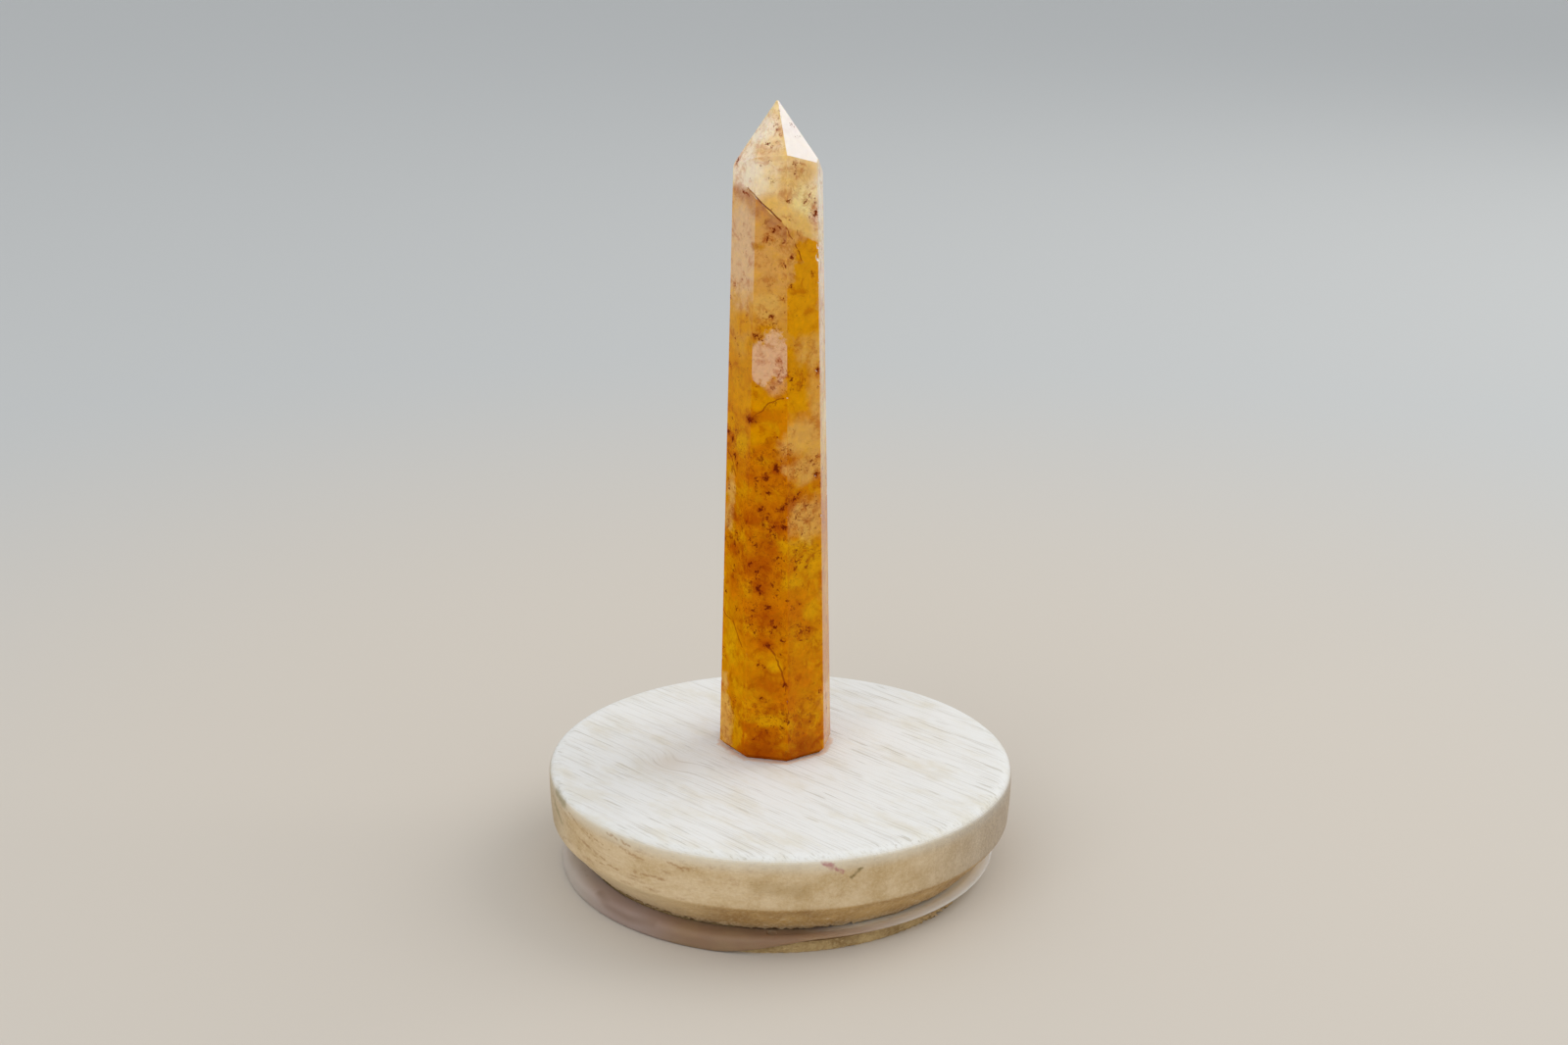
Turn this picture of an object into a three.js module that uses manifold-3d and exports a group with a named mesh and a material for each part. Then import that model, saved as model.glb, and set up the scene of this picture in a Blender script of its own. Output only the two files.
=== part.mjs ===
// A polished quartz obelisk that stands on a round wooden jar lid, used as its stand.
// Millimetres, +Z up. The origin is on the lid's axis, in the plane that the lid rests on.
// A bearing is an angle about +Z in degrees: 0 faces the front, -Y, and 90 faces +X.

import * as THREE from 'three';
import { mergeVertices, toCreasedNormals } from 'three/addons/utils/BufferGeometryUtils.js';
import Module from 'manifold-3d';

// Lid: a thick disc with a rounded top edge and a wide chamfer below, glued to a smaller plug
const lidHeight = 18.6;
const discRadius = 40;
const discUnderside = 3.2;
const undersideRadius = 34.4;
const lowerEdgeRadius = 39.5;
const lowerEdgeHeight = 9;
const lowerEdgeSoftening = 0.5;
const topRounding = { reach: 2.4, drop: 1.3 };
const discColour = 0xe4dac6;

// Plug: glued on a little off centre. A neck for the seal is turned above its flange,
// and a few splinters have broken out of its lower rim
const plugCentre = new THREE.Vector3(-1.45, -1.55, 0);
const plugRadius = 35;
const neckRadius = 32;
const flangeHeight = 1.9;
const plugEdgeBevel = 0.25;
const splinters = { first: 44, last: 62, count: 7, size: 1.2, smaller: 0.7, slant: 20 };
const plugColour = 0xcdb78f;

// Seal: a soft ring round the neck. Its lip stands out on one side and is pressed down to the
// table on the other, with a nick in its upper face
const sealCentre = new THREE.Vector3(-0.5, 0.3, 0);
const sealRadius = 37.7;
const sealGap = 0.3;
const foldStart = 13;
const foldFull = -17;
const unfoldStart = -128;
const unfoldFull = -150;
const sealNick = { bearing: -2, reach: 35.3, height: 3.5, radius: 1, flattening: 0.75 };
const sealColour = 0xb7b0b2;

// Its sections: how far out a point is, from the root (0) to the lip's edge (1), and its height
const rootTop = 3.1;
const standingLip = [
  [0, flangeHeight], [0.4, flangeHeight], [0.6, 2.35], [0.82, 2.6], [0.95, 2.75], [1, 2.95],
  [0.98, 3.15], [0.92, 3.32], [0.82, 3.42], [0.7, 3.38], [0.5, rootTop], [0, rootTop],
];
const hangingLip = [
  [0, flangeHeight], [0.4, flangeHeight], [0.56, 0.3], [0.78, 0.1], [0.94, 0.1], [1, 0.6],
  [1, 1.35], [0.97, 2.05], [0.9, 2.55], [0.76, 2.9], [0.5, rootTop], [0, rootTop],
];

// Obelisk: eight ground sides of uneven width, a slow taper and a six-sided point.
// A side's offset is its distance from the stone's axis at the foot, and its lean is in degrees
const stoneCentre = new THREE.Vector3(-0.91, 6.42, lidHeight);
const stoneSides = [
  { bearing: -56.4, offset: 9.11, lean: 1.44 },
  { bearing: -12.9, offset: 9.23, lean: 1.26 },
  { bearing: 35.4, offset: 9.37, lean: 1.44 },
  { bearing: 78.9, offset: 9.37, lean: 1.45 },
  { bearing: 117.3, offset: 9.05, lean: 1.31 },
  { bearing: 165, offset: 9.15, lean: 1.38 },
  { bearing: 211, offset: 9.2, lean: 1.37 },
  { bearing: 260.2, offset: 9.35, lean: 1.17 },
];
const apexHeight = 112;
const apex = new THREE.Vector3(-1.27, 6.42, lidHeight + apexHeight);
const pointFacets = [
  { bearing: -66.3, slope: 57.1 },
  { bearing: -17.6, slope: 50.7 },
  { bearing: 47.4, slope: 52.2 },
  { bearing: 101.5, slope: 57.2 },
  { bearing: 168, slope: 56.5 },
  { bearing: 240, slope: 60.7 },
];
const bluntTip = 0.2;
const footBevel = 0.95;
const footBevelSlope = 45;
const stoneColour = 0xd9932f;

// The open crack below the point, as bearings and heights above the lid. It narrows as it runs
const crackWidth = 0.5;
const crackNarrowing = 0.5;
const crackRoute = [
  { bearing: -48.7, height: 98.3 },
  { bearing: -31.4, height: 97.4 },
  { bearing: -21.4, height: 96.1 },
  { bearing: -11, height: 94.9 },
  { bearing: -2, height: 93.7 },
  { bearing: 7.6, height: 92.3 },
];

// Flakes lost from the stone's corners and small pits in its sides
const flakes = [
  { bearing: -79.3, height: 101.4, radius: 1.6, bite: 0.3 },
  { bearing: 56.6, height: 91, radius: 1.5, bite: 0.3 },
  { bearing: 57, height: 87.3, radius: 1.9, bite: 0.4 },
  { bearing: 98, height: 46, radius: 1.5, bite: 0.25 },
  { bearing: 11.5, height: 1.3, radius: 1.7, bite: 0.35 },
  { bearing: 141, height: 63, radius: 1.8, bite: 0.35 },
  { bearing: 235.5, height: 24, radius: 1.6, bite: 0.3 },
  { bearing: 53, height: 68.5, radius: 0.6, bite: 0.3 },
  { bearing: 49.8, height: 50.7, radius: 0.5, bite: 0.25 },
];

const roundSteps = 96;
const curveSteps = 5;
const ballDetail = 2;
const cutterSize = 300;
const creaseAngle = THREE.MathUtils.degToRad(35);

const wasm = await Module();
wasm.setup();

// A closed three.js geometry as a solid that can be joined and cut
function solidOf(geometry) {
  const bare = geometry.clone();
  bare.deleteAttribute('normal');
  bare.deleteAttribute('uv');
  const merged = mergeVertices(bare);
  return new wasm.Manifold(new wasm.Mesh({
    numProp: 3,
    vertProperties: new Float32Array(merged.attributes.position.array),
    triVerts: new Uint32Array(merged.index.array),
  }));
}

// A solid as a three.js geometry again, with its sharp edges kept sharp
function geometryOf(solid) {
  const mesh = solid.getMesh();
  const geometry = new THREE.BufferGeometry();
  geometry.setAttribute('position', new THREE.BufferAttribute(mesh.vertProperties, 3));
  geometry.setIndex(new THREE.BufferAttribute(mesh.triVerts, 1));
  return toCreasedNormals(geometry, creaseAngle);
}

// A unit vector that points along a bearing, raised by a number of degrees
function direction(bearing, raised = 0) {
  const turn = THREE.MathUtils.degToRad(bearing);
  const rise = THREE.MathUtils.degToRad(raised);
  return new THREE.Vector3(
    Math.sin(turn) * Math.cos(rise),
    -Math.cos(turn) * Math.cos(rise),
    Math.sin(rise),
  );
}

// A profile of radius and height, spun about the Z axis
function spun(profile) {
  return new THREE.LatheGeometry(profile, roundSteps).rotateX(Math.PI / 2);
}

// ---- the wooden lid ----

function discGeometry() {
  const wallTop = lidHeight - topRounding.drop;
  const profile = new THREE.Path();
  profile.moveTo(0, discUnderside);
  profile.lineTo(undersideRadius, discUnderside);
  profile.lineTo(lowerEdgeRadius - lowerEdgeSoftening, lowerEdgeHeight - lowerEdgeSoftening);
  profile.quadraticCurveTo(
    lowerEdgeRadius, lowerEdgeHeight,
    lowerEdgeRadius + lowerEdgeSoftening / 4, lowerEdgeHeight + lowerEdgeSoftening,
  );
  profile.quadraticCurveTo(discRadius, (lowerEdgeHeight + wallTop) / 2, discRadius, wallTop);
  profile.absellipse(
    discRadius - topRounding.reach, wallTop,
    topRounding.reach, topRounding.drop,
    0, Math.PI / 2,
  );
  profile.lineTo(0, lidHeight);
  return spun(profile.getPoints(curveSteps));
}

function plugGeometry() {
  const profile = new THREE.Path();
  profile.moveTo(0, 0);
  profile.lineTo(plugRadius - plugEdgeBevel, 0);
  profile.lineTo(plugRadius, plugEdgeBevel);
  profile.lineTo(plugRadius, flangeHeight);
  profile.lineTo(neckRadius, flangeHeight);
  profile.lineTo(neckRadius, discUnderside);
  profile.lineTo(0, discUnderside);
  let plug = solidOf(spun(profile.getPoints()));
  for (let i = 0; i < splinters.count; i += 1) {
    const share = i / (splinters.count - 1);
    const bearing = THREE.MathUtils.lerp(splinters.first, splinters.last, share);
    const size = splinters.size * (i % 2 === 0 ? 1 : splinters.smaller);
    const notch = new THREE.BoxGeometry(size, size, size);
    notch.rotateX(Math.PI / 4);
    notch.rotateZ(THREE.MathUtils.degToRad(bearing + splinters.slant));
    const spot = direction(bearing).multiplyScalar(plugRadius + size / 4);
    notch.translate(spot.x, spot.y, 0);
    plug = plug.subtract(solidOf(notch));
  }
  return geometryOf(plug).translate(plugCentre.x, plugCentre.y, 0);
}

// ---- the seal ----

// How far the lip is pressed down at a bearing: 0 where it stands out, 1 where it is a full skirt
function foldShare(bearing) {
  const front = THREE.MathUtils.smoothstep(-bearing, -foldStart, -foldFull);
  const back = THREE.MathUtils.smoothstep(-bearing, -unfoldStart, -unfoldFull);
  return front - back;
}

// A ring with the same section all the way round
function sealRing(lip) {
  const root = neckRadius + sealGap;
  const section = lip.map(([share, height]) =>
    new THREE.Vector2(THREE.MathUtils.lerp(root, sealRadius, share), height));
  section.push(section[0].clone());
  return spun(section);
}

// The ring's root is centred on the plug, and its lip a little off it
function sealGeometry() {
  const root = neckRadius + sealGap;
  const ring = sealRing(standingLip);
  const spots = ring.attributes.position;
  const foldedSpots = sealRing(hangingLip).attributes.position;
  const spot = new THREE.Vector3();
  const folded = new THREE.Vector3();
  for (let i = 0; i < spots.count; i += 1) {
    spot.fromBufferAttribute(spots, i);
    folded.fromBufferAttribute(foldedSpots, i);
    const bearing = THREE.MathUtils.radToDeg(Math.atan2(spot.x, -spot.y));
    spot.lerp(folded, foldShare(bearing));
    const share = (Math.hypot(spot.x, spot.y) - root) / (sealRadius - root);
    spot.add(plugCentre.clone().lerp(sealCentre, THREE.MathUtils.clamp(share, 0, 1)));
    spots.setXYZ(i, spot.x, spot.y, spot.z);
  }
  const clearRadius = plugRadius + sealGap;
  const flange = new THREE.CylinderGeometry(clearRadius, clearRadius, 2 * flangeHeight, roundSteps);
  flange.rotateX(Math.PI / 2).translate(plugCentre.x, plugCentre.y, 0);
  const place = direction(sealNick.bearing).multiplyScalar(sealNick.reach);
  const scoop = new THREE.IcosahedronGeometry(sealNick.radius, ballDetail);
  scoop.scale(1, 1, sealNick.flattening).translate(place.x, place.y, sealNick.height);
  return geometryOf(solidOf(ring).subtract(solidOf(flange)).subtract(solidOf(scoop)));
}

// ---- the obelisk ----

// The way that a side of the stone faces, and a point of it at a height above the lid
function sidePlane({ bearing, offset, lean }, height = 0) {
  const out = offset - height * Math.tan(THREE.MathUtils.degToRad(lean));
  const point = direction(bearing).multiplyScalar(out).add(stoneCentre);
  return { normal: direction(bearing, lean), point: point.setZ(lidHeight + height) };
}

// The point of the stone's surface at a bearing and a height, and the way it faces there
function onSide({ bearing, height }) {
  const ray = direction(bearing);
  const axis = stoneCentre.clone().setZ(lidHeight + height);
  let nearest = { reach: Infinity };
  for (const side of stoneSides) {
    const { normal, point } = sidePlane(side, height);
    const reach = point.sub(axis).dot(normal) / ray.dot(normal);
    if (reach > 0 && reach < nearest.reach) {
      nearest = { reach, normal };
    }
  }
  return { place: ray.multiplyScalar(nearest.reach).add(axis), outward: nearest.normal };
}

// A big block that fills all that lies beyond a plane through a point
function beyondPlane(point, normal) {
  const block = new THREE.BoxGeometry(cutterSize, cutterSize, cutterSize);
  block.translate(0, 0, cutterSize / 2);
  const turn = new THREE.Quaternion().setFromUnitVectors(new THREE.Vector3(0, 0, 1), normal);
  return block.applyQuaternion(turn).translate(point.x, point.y, point.z);
}

// One straight length of the crack: a square bar on its edge, half of it below the surface
function crackBar(start, end, width) {
  const a = onSide(start);
  const b = onSide(end);
  const along = b.place.clone().sub(a.place);
  const middle = a.place.clone().add(b.place).multiplyScalar(0.5);
  const outward = a.outward.clone().add(b.outward).normalize();
  const across = outward.clone().cross(along).normalize();
  const bar = new THREE.BoxGeometry(along.length() + width, width, width).rotateX(Math.PI / 4);
  const frame = new THREE.Matrix4().makeBasis(
    along.clone().normalize(), across, along.clone().normalize().cross(across));
  return bar.applyMatrix4(frame.setPosition(middle));
}

function stoneGeometry() {
  const blankWidth = 3 * stoneSides[0].offset;
  const blank = new THREE.BoxGeometry(blankWidth, blankWidth, apexHeight);
  blank.translate(stoneCentre.x, stoneCentre.y, lidHeight + apexHeight / 2);
  let stone = solidOf(blank);
  for (const side of stoneSides) {
    const { normal, point } = sidePlane(side);
    const bevelTop = sidePlane(side, footBevel).point;
    const bevelNormal = direction(side.bearing, -footBevelSlope);
    stone = stone.subtract(solidOf(beyondPlane(point, normal)));
    stone = stone.subtract(solidOf(beyondPlane(bevelTop, bevelNormal)));
  }
  for (const { bearing, slope } of pointFacets) {
    stone = stone.subtract(solidOf(beyondPlane(apex, direction(bearing, 90 - slope))));
  }
  const tip = apex.clone().setZ(apex.z - bluntTip);
  stone = stone.subtract(solidOf(beyondPlane(tip, new THREE.Vector3(0, 0, 1))));
  for (let i = 1; i < crackRoute.length; i += 1) {
    const width = crackWidth * (1 - crackNarrowing * i / crackRoute.length);
    stone = stone.subtract(solidOf(crackBar(crackRoute[i - 1], crackRoute[i], width)));
  }
  for (const flake of flakes) {
    const out = direction(flake.bearing).multiplyScalar(flake.radius - flake.bite);
    const centre = out.add(onSide(flake).place);
    const ball = new THREE.IcosahedronGeometry(flake.radius, ballDetail);
    stone = stone.subtract(solidOf(ball.translate(centre.x, centre.y, centre.z)));
  }
  return geometryOf(stone);
}

// ---- the scene graph ----

function part(name, geometry, colour, roughness) {
  const material = new THREE.MeshStandardMaterial({ color: colour, roughness, metalness: 0 });
  const mesh = new THREE.Mesh(geometry, material);
  mesh.name = name;
  return mesh;
}

const lid = new THREE.Group();
lid.add(part('lid_disc', discGeometry(), discColour, 0.65));
lid.add(part('lid_plug', plugGeometry(), plugColour, 0.75));
lid.add(part('seal_ring', sealGeometry(), sealColour, 0.4));

const obelisk = new THREE.Group();
obelisk.add(lid);
obelisk.add(part('quartz_obelisk', stoneGeometry(), stoneColour, 0.12));

export default obelisk;
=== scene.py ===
import math
import random

import bmesh
import bpy
from mathutils import Matrix, Vector, noise


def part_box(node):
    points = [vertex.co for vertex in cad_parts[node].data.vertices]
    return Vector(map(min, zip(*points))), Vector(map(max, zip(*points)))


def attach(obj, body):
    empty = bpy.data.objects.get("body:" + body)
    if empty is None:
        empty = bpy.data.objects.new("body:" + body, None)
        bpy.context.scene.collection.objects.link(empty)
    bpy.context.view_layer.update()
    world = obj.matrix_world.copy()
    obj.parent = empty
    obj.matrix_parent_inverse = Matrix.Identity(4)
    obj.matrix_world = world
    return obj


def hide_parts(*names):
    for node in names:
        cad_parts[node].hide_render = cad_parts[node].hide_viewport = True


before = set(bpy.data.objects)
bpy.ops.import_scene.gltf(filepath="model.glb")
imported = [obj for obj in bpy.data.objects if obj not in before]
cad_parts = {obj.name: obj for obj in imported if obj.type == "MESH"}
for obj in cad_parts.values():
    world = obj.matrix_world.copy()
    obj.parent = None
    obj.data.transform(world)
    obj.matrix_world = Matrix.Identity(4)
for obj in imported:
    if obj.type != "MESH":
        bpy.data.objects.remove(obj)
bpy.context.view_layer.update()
metresPerMm = 0.001
boxes = {node: [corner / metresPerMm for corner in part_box(node)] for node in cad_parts}
print("frame loaded:", sorted(boxes))


# A bearing is an angle about +Z in degrees: 0 faces the front, -Y, and 90 faces +X
def towards(bearing, raised=0.0):
    turn, lift = math.radians(bearing), math.radians(raised)
    flat = math.cos(lift)
    return Vector((math.sin(turn) * flat, -math.cos(turn) * flat, math.sin(lift)))


def bearingOf(spot):
    return math.degrees(math.atan2(spot.x, -spot.y))


def easeBetween(low, high, value):
    share = min(max((value - low) / (high - low), 0.0), 1.0)
    return share * share * (3 - 2 * share)


# Meshes are built in millimetres and stored in metres
def storeMesh(name, bm):
    bmesh.ops.recalc_face_normals(bm, faces=bm.faces)
    bmesh.ops.scale(bm, vec=(metresPerMm,) * 3, verts=bm.verts)
    mesh = bpy.data.meshes.new(name)
    bm.to_mesh(mesh)
    bm.free()
    piece = bpy.data.objects.new(name, mesh)
    bpy.context.scene.collection.objects.link(piece)
    return piece


def applyModifiers(piece):
    graph = bpy.context.evaluated_depsgraph_get()
    made = bpy.data.meshes.new_from_object(piece.evaluated_get(graph))
    piece.modifiers.clear()
    old = piece.data
    piece.data = made
    made.name = old.name
    bpy.data.meshes.remove(old)


def carve(piece, cutter):
    modifier = piece.modifiers.new("carve", "BOOLEAN")
    modifier.object = cutter
    modifier.operation = "DIFFERENCE"
    modifier.solver = "EXACT"
    modifier.use_self = True
    applyModifiers(piece)
    bpy.data.objects.remove(cutter)


# Faces shade smoothly up to an angle, and the big flat ones stay flat
def shadeByAngle(piece, degrees, weighted=False):
    for polygon in piece.data.polygons:
        polygon.use_smooth = True
    piece.data.set_sharp_from_angle(angle=math.radians(degrees))
    if weighted:
        modifier = piece.modifiers.new("flat faces", "WEIGHTED_NORMAL")
        modifier.keep_sharp = True
        modifier.weight = 100
        applyModifiers(piece)


def give(tree, value, socket):
    if isinstance(value, bpy.types.NodeSocket):
        tree.links.new(value, socket)
    else:
        socket.default_value = value


def newNode(tree, kind, inputs, **settings):
    node = tree.nodes.new("ShaderNode" + kind)
    for name, value in settings.items():
        setattr(node, name, value)
    for key, value in inputs.items():
        give(tree, value, node.inputs[key])
    return node


def maths(tree, operation, *values, clamp=False):
    inputs = dict(enumerate(values))
    return newNode(tree, "Math", inputs, operation=operation, use_clamp=clamp).outputs[0]


def vectors(tree, operation, *values, output="Vector"):
    inputs = dict(enumerate(values))
    return newNode(tree, "VectorMath", inputs, operation=operation).outputs[output]


def scaled(tree, vector, amount):
    node = newNode(tree, "VectorMath", {"Vector": vector, "Scale": amount}, operation="SCALE")
    return node.outputs["Vector"]


# 0 below the first value, 1 above the second, with soft ends
def rise(tree, value, low, high):
    inputs = {"Value": value, "From Min": low, "From Max": high}
    return newNode(tree, "MapRange", inputs, interpolation_type="SMOOTHSTEP").outputs["Result"]


# Spreads a stretch of a noise evenly between two values
def spreadNoise(tree, value, stretch, ends):
    inputs = {"Value": value, "From Min": stretch[0], "From Max": stretch[1],
              "To Min": ends[0], "To Max": ends[1]}
    return newNode(tree, "MapRange", inputs).outputs["Result"]


def noiseOf(tree, vector, size, detail=2.0, roughness=0.5, distortion=0.0, output="Fac"):
    inputs = {"Vector": vector, "Scale": 1 / size, "Detail": detail, "Roughness": roughness,
              "Distortion": distortion}
    return newNode(tree, "TexNoise", inputs).outputs[output]


def tone(hexText):
    parts = [int(hexText[i:i + 2], 16) / 255 for i in (1, 3, 5)]
    linear = [p / 12.92 if p <= 0.04045 else ((p + 0.055) / 1.055) ** 2.4 for p in parts]
    return (*linear, 1.0)


def colourMix(tree, share, below, above, kind="MIX"):
    node = tree.nodes.new("ShaderNodeMix")
    node.data_type = "RGBA"
    node.blend_type = kind
    colours = [socket for socket in node.inputs if socket.type == "RGBA"]
    give(tree, share, node.inputs["Factor"])
    give(tree, below, colours[0])
    give(tree, above, colours[1])
    return [socket for socket in node.outputs if socket.type == "RGBA"][0]


# Lays a colour over another where a mask says so, up to a strength
def tinted(tree, mask, strength, below, above, kind="MIX"):
    return colourMix(tree, maths(tree, "MULTIPLY", mask, strength), below, above, kind)


def opposite(tree, mask):
    return maths(tree, "SUBTRACT", 1.0, mask)


def colourRamp(tree, value, stops):
    node = newNode(tree, "ValToRGB", {"Fac": value})
    ramp = node.color_ramp
    ramp.interpolation = "EASE"
    ramp.elements.remove(ramp.elements[1])
    ramp.elements[0].position = stops[0][0]
    ramp.elements[0].color = tone(stops[0][1])
    for position, hexText in stops[1:]:
        ramp.elements.new(position).color = tone(hexText)
    return node.outputs["Color"]


def newGroup(name, inputs, outputs):
    tree = bpy.data.node_groups.new(name, "ShaderNodeTree")
    kinds = {"value": "NodeSocketFloat", "vector": "NodeSocketVector", "colour": "NodeSocketColor"}
    for socketName, (kind, default) in inputs.items():
        socket = tree.interface.new_socket(socketName, in_out="INPUT", socket_type=kinds[kind])
        socket.default_value = default
    for socketName, kind in outputs.items():
        tree.interface.new_socket(socketName, in_out="OUTPUT", socket_type=kinds[kind])
    given = tree.nodes.new("NodeGroupInput").outputs
    wanted = tree.nodes.new("NodeGroupOutput").inputs
    return tree, given, wanted


def useGroup(tree, group, inputs):
    node = tree.nodes.new("ShaderNodeGroup")
    node.node_tree = group
    node.label = group.name
    for key, value in inputs.items():
        give(tree, value, node.inputs[key])
    return node.outputs


def newMaterial(name):
    material = bpy.data.materials.new(name)
    material.use_nodes = True
    tree = material.node_tree
    shader = tree.nodes["Principled BSDF"]
    return material, tree, shader


# Where a point is, in millimetres from a place, seen some way below the surface.
# Each flat face looks in its own direction, so what lies deeper jumps at the edges
def makeInsideView():
    tree, given, wanted = newGroup(
        "inside view",
        {"From": ("vector", (0, 0, 0)), "Depth": ("value", 0.0)},
        {"Vector": "vector"})
    spot = newNode(tree, "TexCoord", {}).outputs["Object"]
    facing = newNode(tree, "NewGeometry", {}).outputs["True Normal"]
    spot = scaled(tree, spot, 1 / metresPerMm)
    spot = vectors(tree, "SUBTRACT", spot, given["From"])
    spot = vectors(tree, "SUBTRACT", spot, scaled(tree, facing, given["Depth"]))
    give(tree, spot, wanted["Vector"])
    return tree


# Shakes a position, so that round marks turn ragged. The noise strays about a quarter from
# its middle, so four times that moves a place by the amount
def makeWobble():
    tree, given, wanted = newGroup(
        "wobble",
        {"Vector": ("vector", (0, 0, 0)), "Size": ("value", 1.0), "Amount": ("value", 0.3)},
        {"Vector": "vector"})
    stretch = maths(tree, "DIVIDE", 1.0, given["Size"])
    inputs = {"Vector": given["Vector"], "Scale": stretch, "Detail": 2.0}
    shake = newNode(tree, "SeparateColor", {0: newNode(tree, "TexNoise", inputs).outputs["Color"]})
    shake = newNode(tree, "CombineXYZ", dict(enumerate(shake.outputs))).outputs[0]
    shake = vectors(tree, "SUBTRACT", shake, (0.5, 0.5, 0.5))
    shake = scaled(tree, shake, maths(tree, "MULTIPLY", given["Amount"], 4.0))
    give(tree, vectors(tree, "ADD", given["Vector"], shake), wanted["Vector"])
    return tree


# Small ragged flecks strewn at random. Share is how many of the cells hold one
def makeFlecks():
    tree, given, wanted = newGroup(
        "flecks",
        {"Vector": ("vector", (0, 0, 0)), "Spacing": ("value", 1.0), "Share": ("value", 0.3),
         "Reach": ("value", 0.3)},
        {"Mask": "value"})
    stretch = maths(tree, "DIVIDE", 1.0, given["Spacing"])
    cells = newNode(tree, "TexVoronoi", {"Vector": given["Vector"], "Scale": stretch})
    picked = newNode(tree, "SeparateColor", {0: cells.outputs["Color"]})
    chosen = maths(tree, "LESS_THAN", picked.outputs[0], given["Share"])
    faint, smallest, soft = 0.4, 0.35, 0.7
    strength = maths(tree, "MULTIPLY_ADD", picked.outputs[2], 1 - faint, faint)
    chosen = maths(tree, "MULTIPLY", chosen, strength)
    reach = maths(tree, "MULTIPLY", given["Reach"], maths(tree, "ADD", picked.outputs[1], smallest))
    inside = maths(tree, "SUBTRACT", reach, cells.outputs["Distance"])
    inside = rise(tree, inside, 0.0, maths(tree, "MULTIPLY", given["Reach"], soft))
    give(tree, maths(tree, "MULTIPLY", inside, chosen), wanted["Mask"])
    return tree


# 1 on faces that look one way, 0 on the others
def makeFacing():
    tree, given, wanted = newGroup(
        "facing",
        {"Way": ("vector", (0, 0, 1)), "Low": ("value", 0.0), "High": ("value", 1.0)},
        {"Mask": "value"})
    normal = newNode(tree, "NewGeometry", {}).outputs["True Normal"]
    alike = vectors(tree, "DOT_PRODUCT", normal, given["Way"], output="Value")
    give(tree, rise(tree, alike, given["Low"], given["High"]), wanted["Mask"])
    return tree


# How often the grain changes in a millimetre: along the fibres, then across them. An edge is
# where a noise starts to show and where it is full
grain = {
    "thinLines": (0.07, 2.9, 2.9), "thickLines": (0.1, 1.7, 1.7), "streaks": (0.07, 0.9, 0.9),
    "fibre": (0.07, 2.2, 2.2), "mottle": (0.5, 1, 1), "mottleSize": 5.5, "fuzzSize": 0.5,
    "thinShare": 0.7, "thinEdge": (0.5, 0.72), "thickEdge": (0.66, 0.74), "streakEdge": (0.52, 0.74),
}


# Grain runs along X. Lines are fine dashes, streaks are long and soft, and mottle is fuzzy patches
def makeTimber():
    tree, given, wanted = newGroup(
        "timber", {"Vector": ("vector", (0, 0, 0))},
        {"Lines": "value", "Streaks": "value", "Fibre": "value", "Mottle": "value", "Fuzz": "value"})
    spot = given["Vector"]
    thin = noiseOf(tree, vectors(tree, "MULTIPLY", spot, grain["thinLines"]), 1.0, 3.0, 0.55)
    thick = noiseOf(tree, vectors(tree, "MULTIPLY", spot, grain["thickLines"]), 1.0, 1.0, 0.5)
    thin = maths(tree, "MULTIPLY", rise(tree, thin, *grain["thinEdge"]), grain["thinShare"])
    lines = maths(tree, "MAXIMUM", thin, rise(tree, thick, *grain["thickEdge"]))
    give(tree, lines, wanted["Lines"])
    streak = noiseOf(tree, vectors(tree, "MULTIPLY", spot, grain["streaks"]), 1.0, 3.0, 0.6)
    give(tree, rise(tree, streak, *grain["streakEdge"]), wanted["Streaks"])
    fibre = noiseOf(tree, vectors(tree, "MULTIPLY", spot, grain["fibre"]), 1.0, 3.0, 0.6)
    give(tree, fibre, wanted["Fibre"])
    patches = vectors(tree, "MULTIPLY", spot, grain["mottle"])
    give(tree, noiseOf(tree, patches, grain["mottleSize"], 4.0, 0.62), wanted["Mottle"])
    give(tree, noiseOf(tree, spot, grain["fuzzSize"], 3.0, 0.7), wanted["Fuzz"])
    return tree


groups = {
    "insideView": makeInsideView(), "wobble": makeWobble(), "flecks": makeFlecks(),
    "facing": makeFacing(), "timber": makeTimber(),
}
print("shader groups made:", len(groups))


def insideView(tree, origin=(0, 0, 0), depth=0.0):
    return useGroup(tree, groups["insideView"], {"From": origin, "Depth": depth})["Vector"]


def wobbled(tree, vector, size, amount):
    inputs = {"Vector": vector, "Size": size, "Amount": amount}
    return useGroup(tree, groups["wobble"], inputs)["Vector"]


def facingWay(tree, way, low=0.9, high=0.97):
    return useGroup(tree, groups["facing"], {"Way": way, "Low": low, "High": high})["Mask"]


def giveBump(tree, shader, height, look):
    inputs = {"Height": height, "Strength": look["bump"], "Distance": look["bumpDistance"]}
    give(tree, newNode(tree, "Bump", inputs).outputs["Normal"], shader.inputs["Normal"])


def setShader(shader, values):
    for name, value in values.items():
        shader.inputs[name].default_value = value


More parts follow.
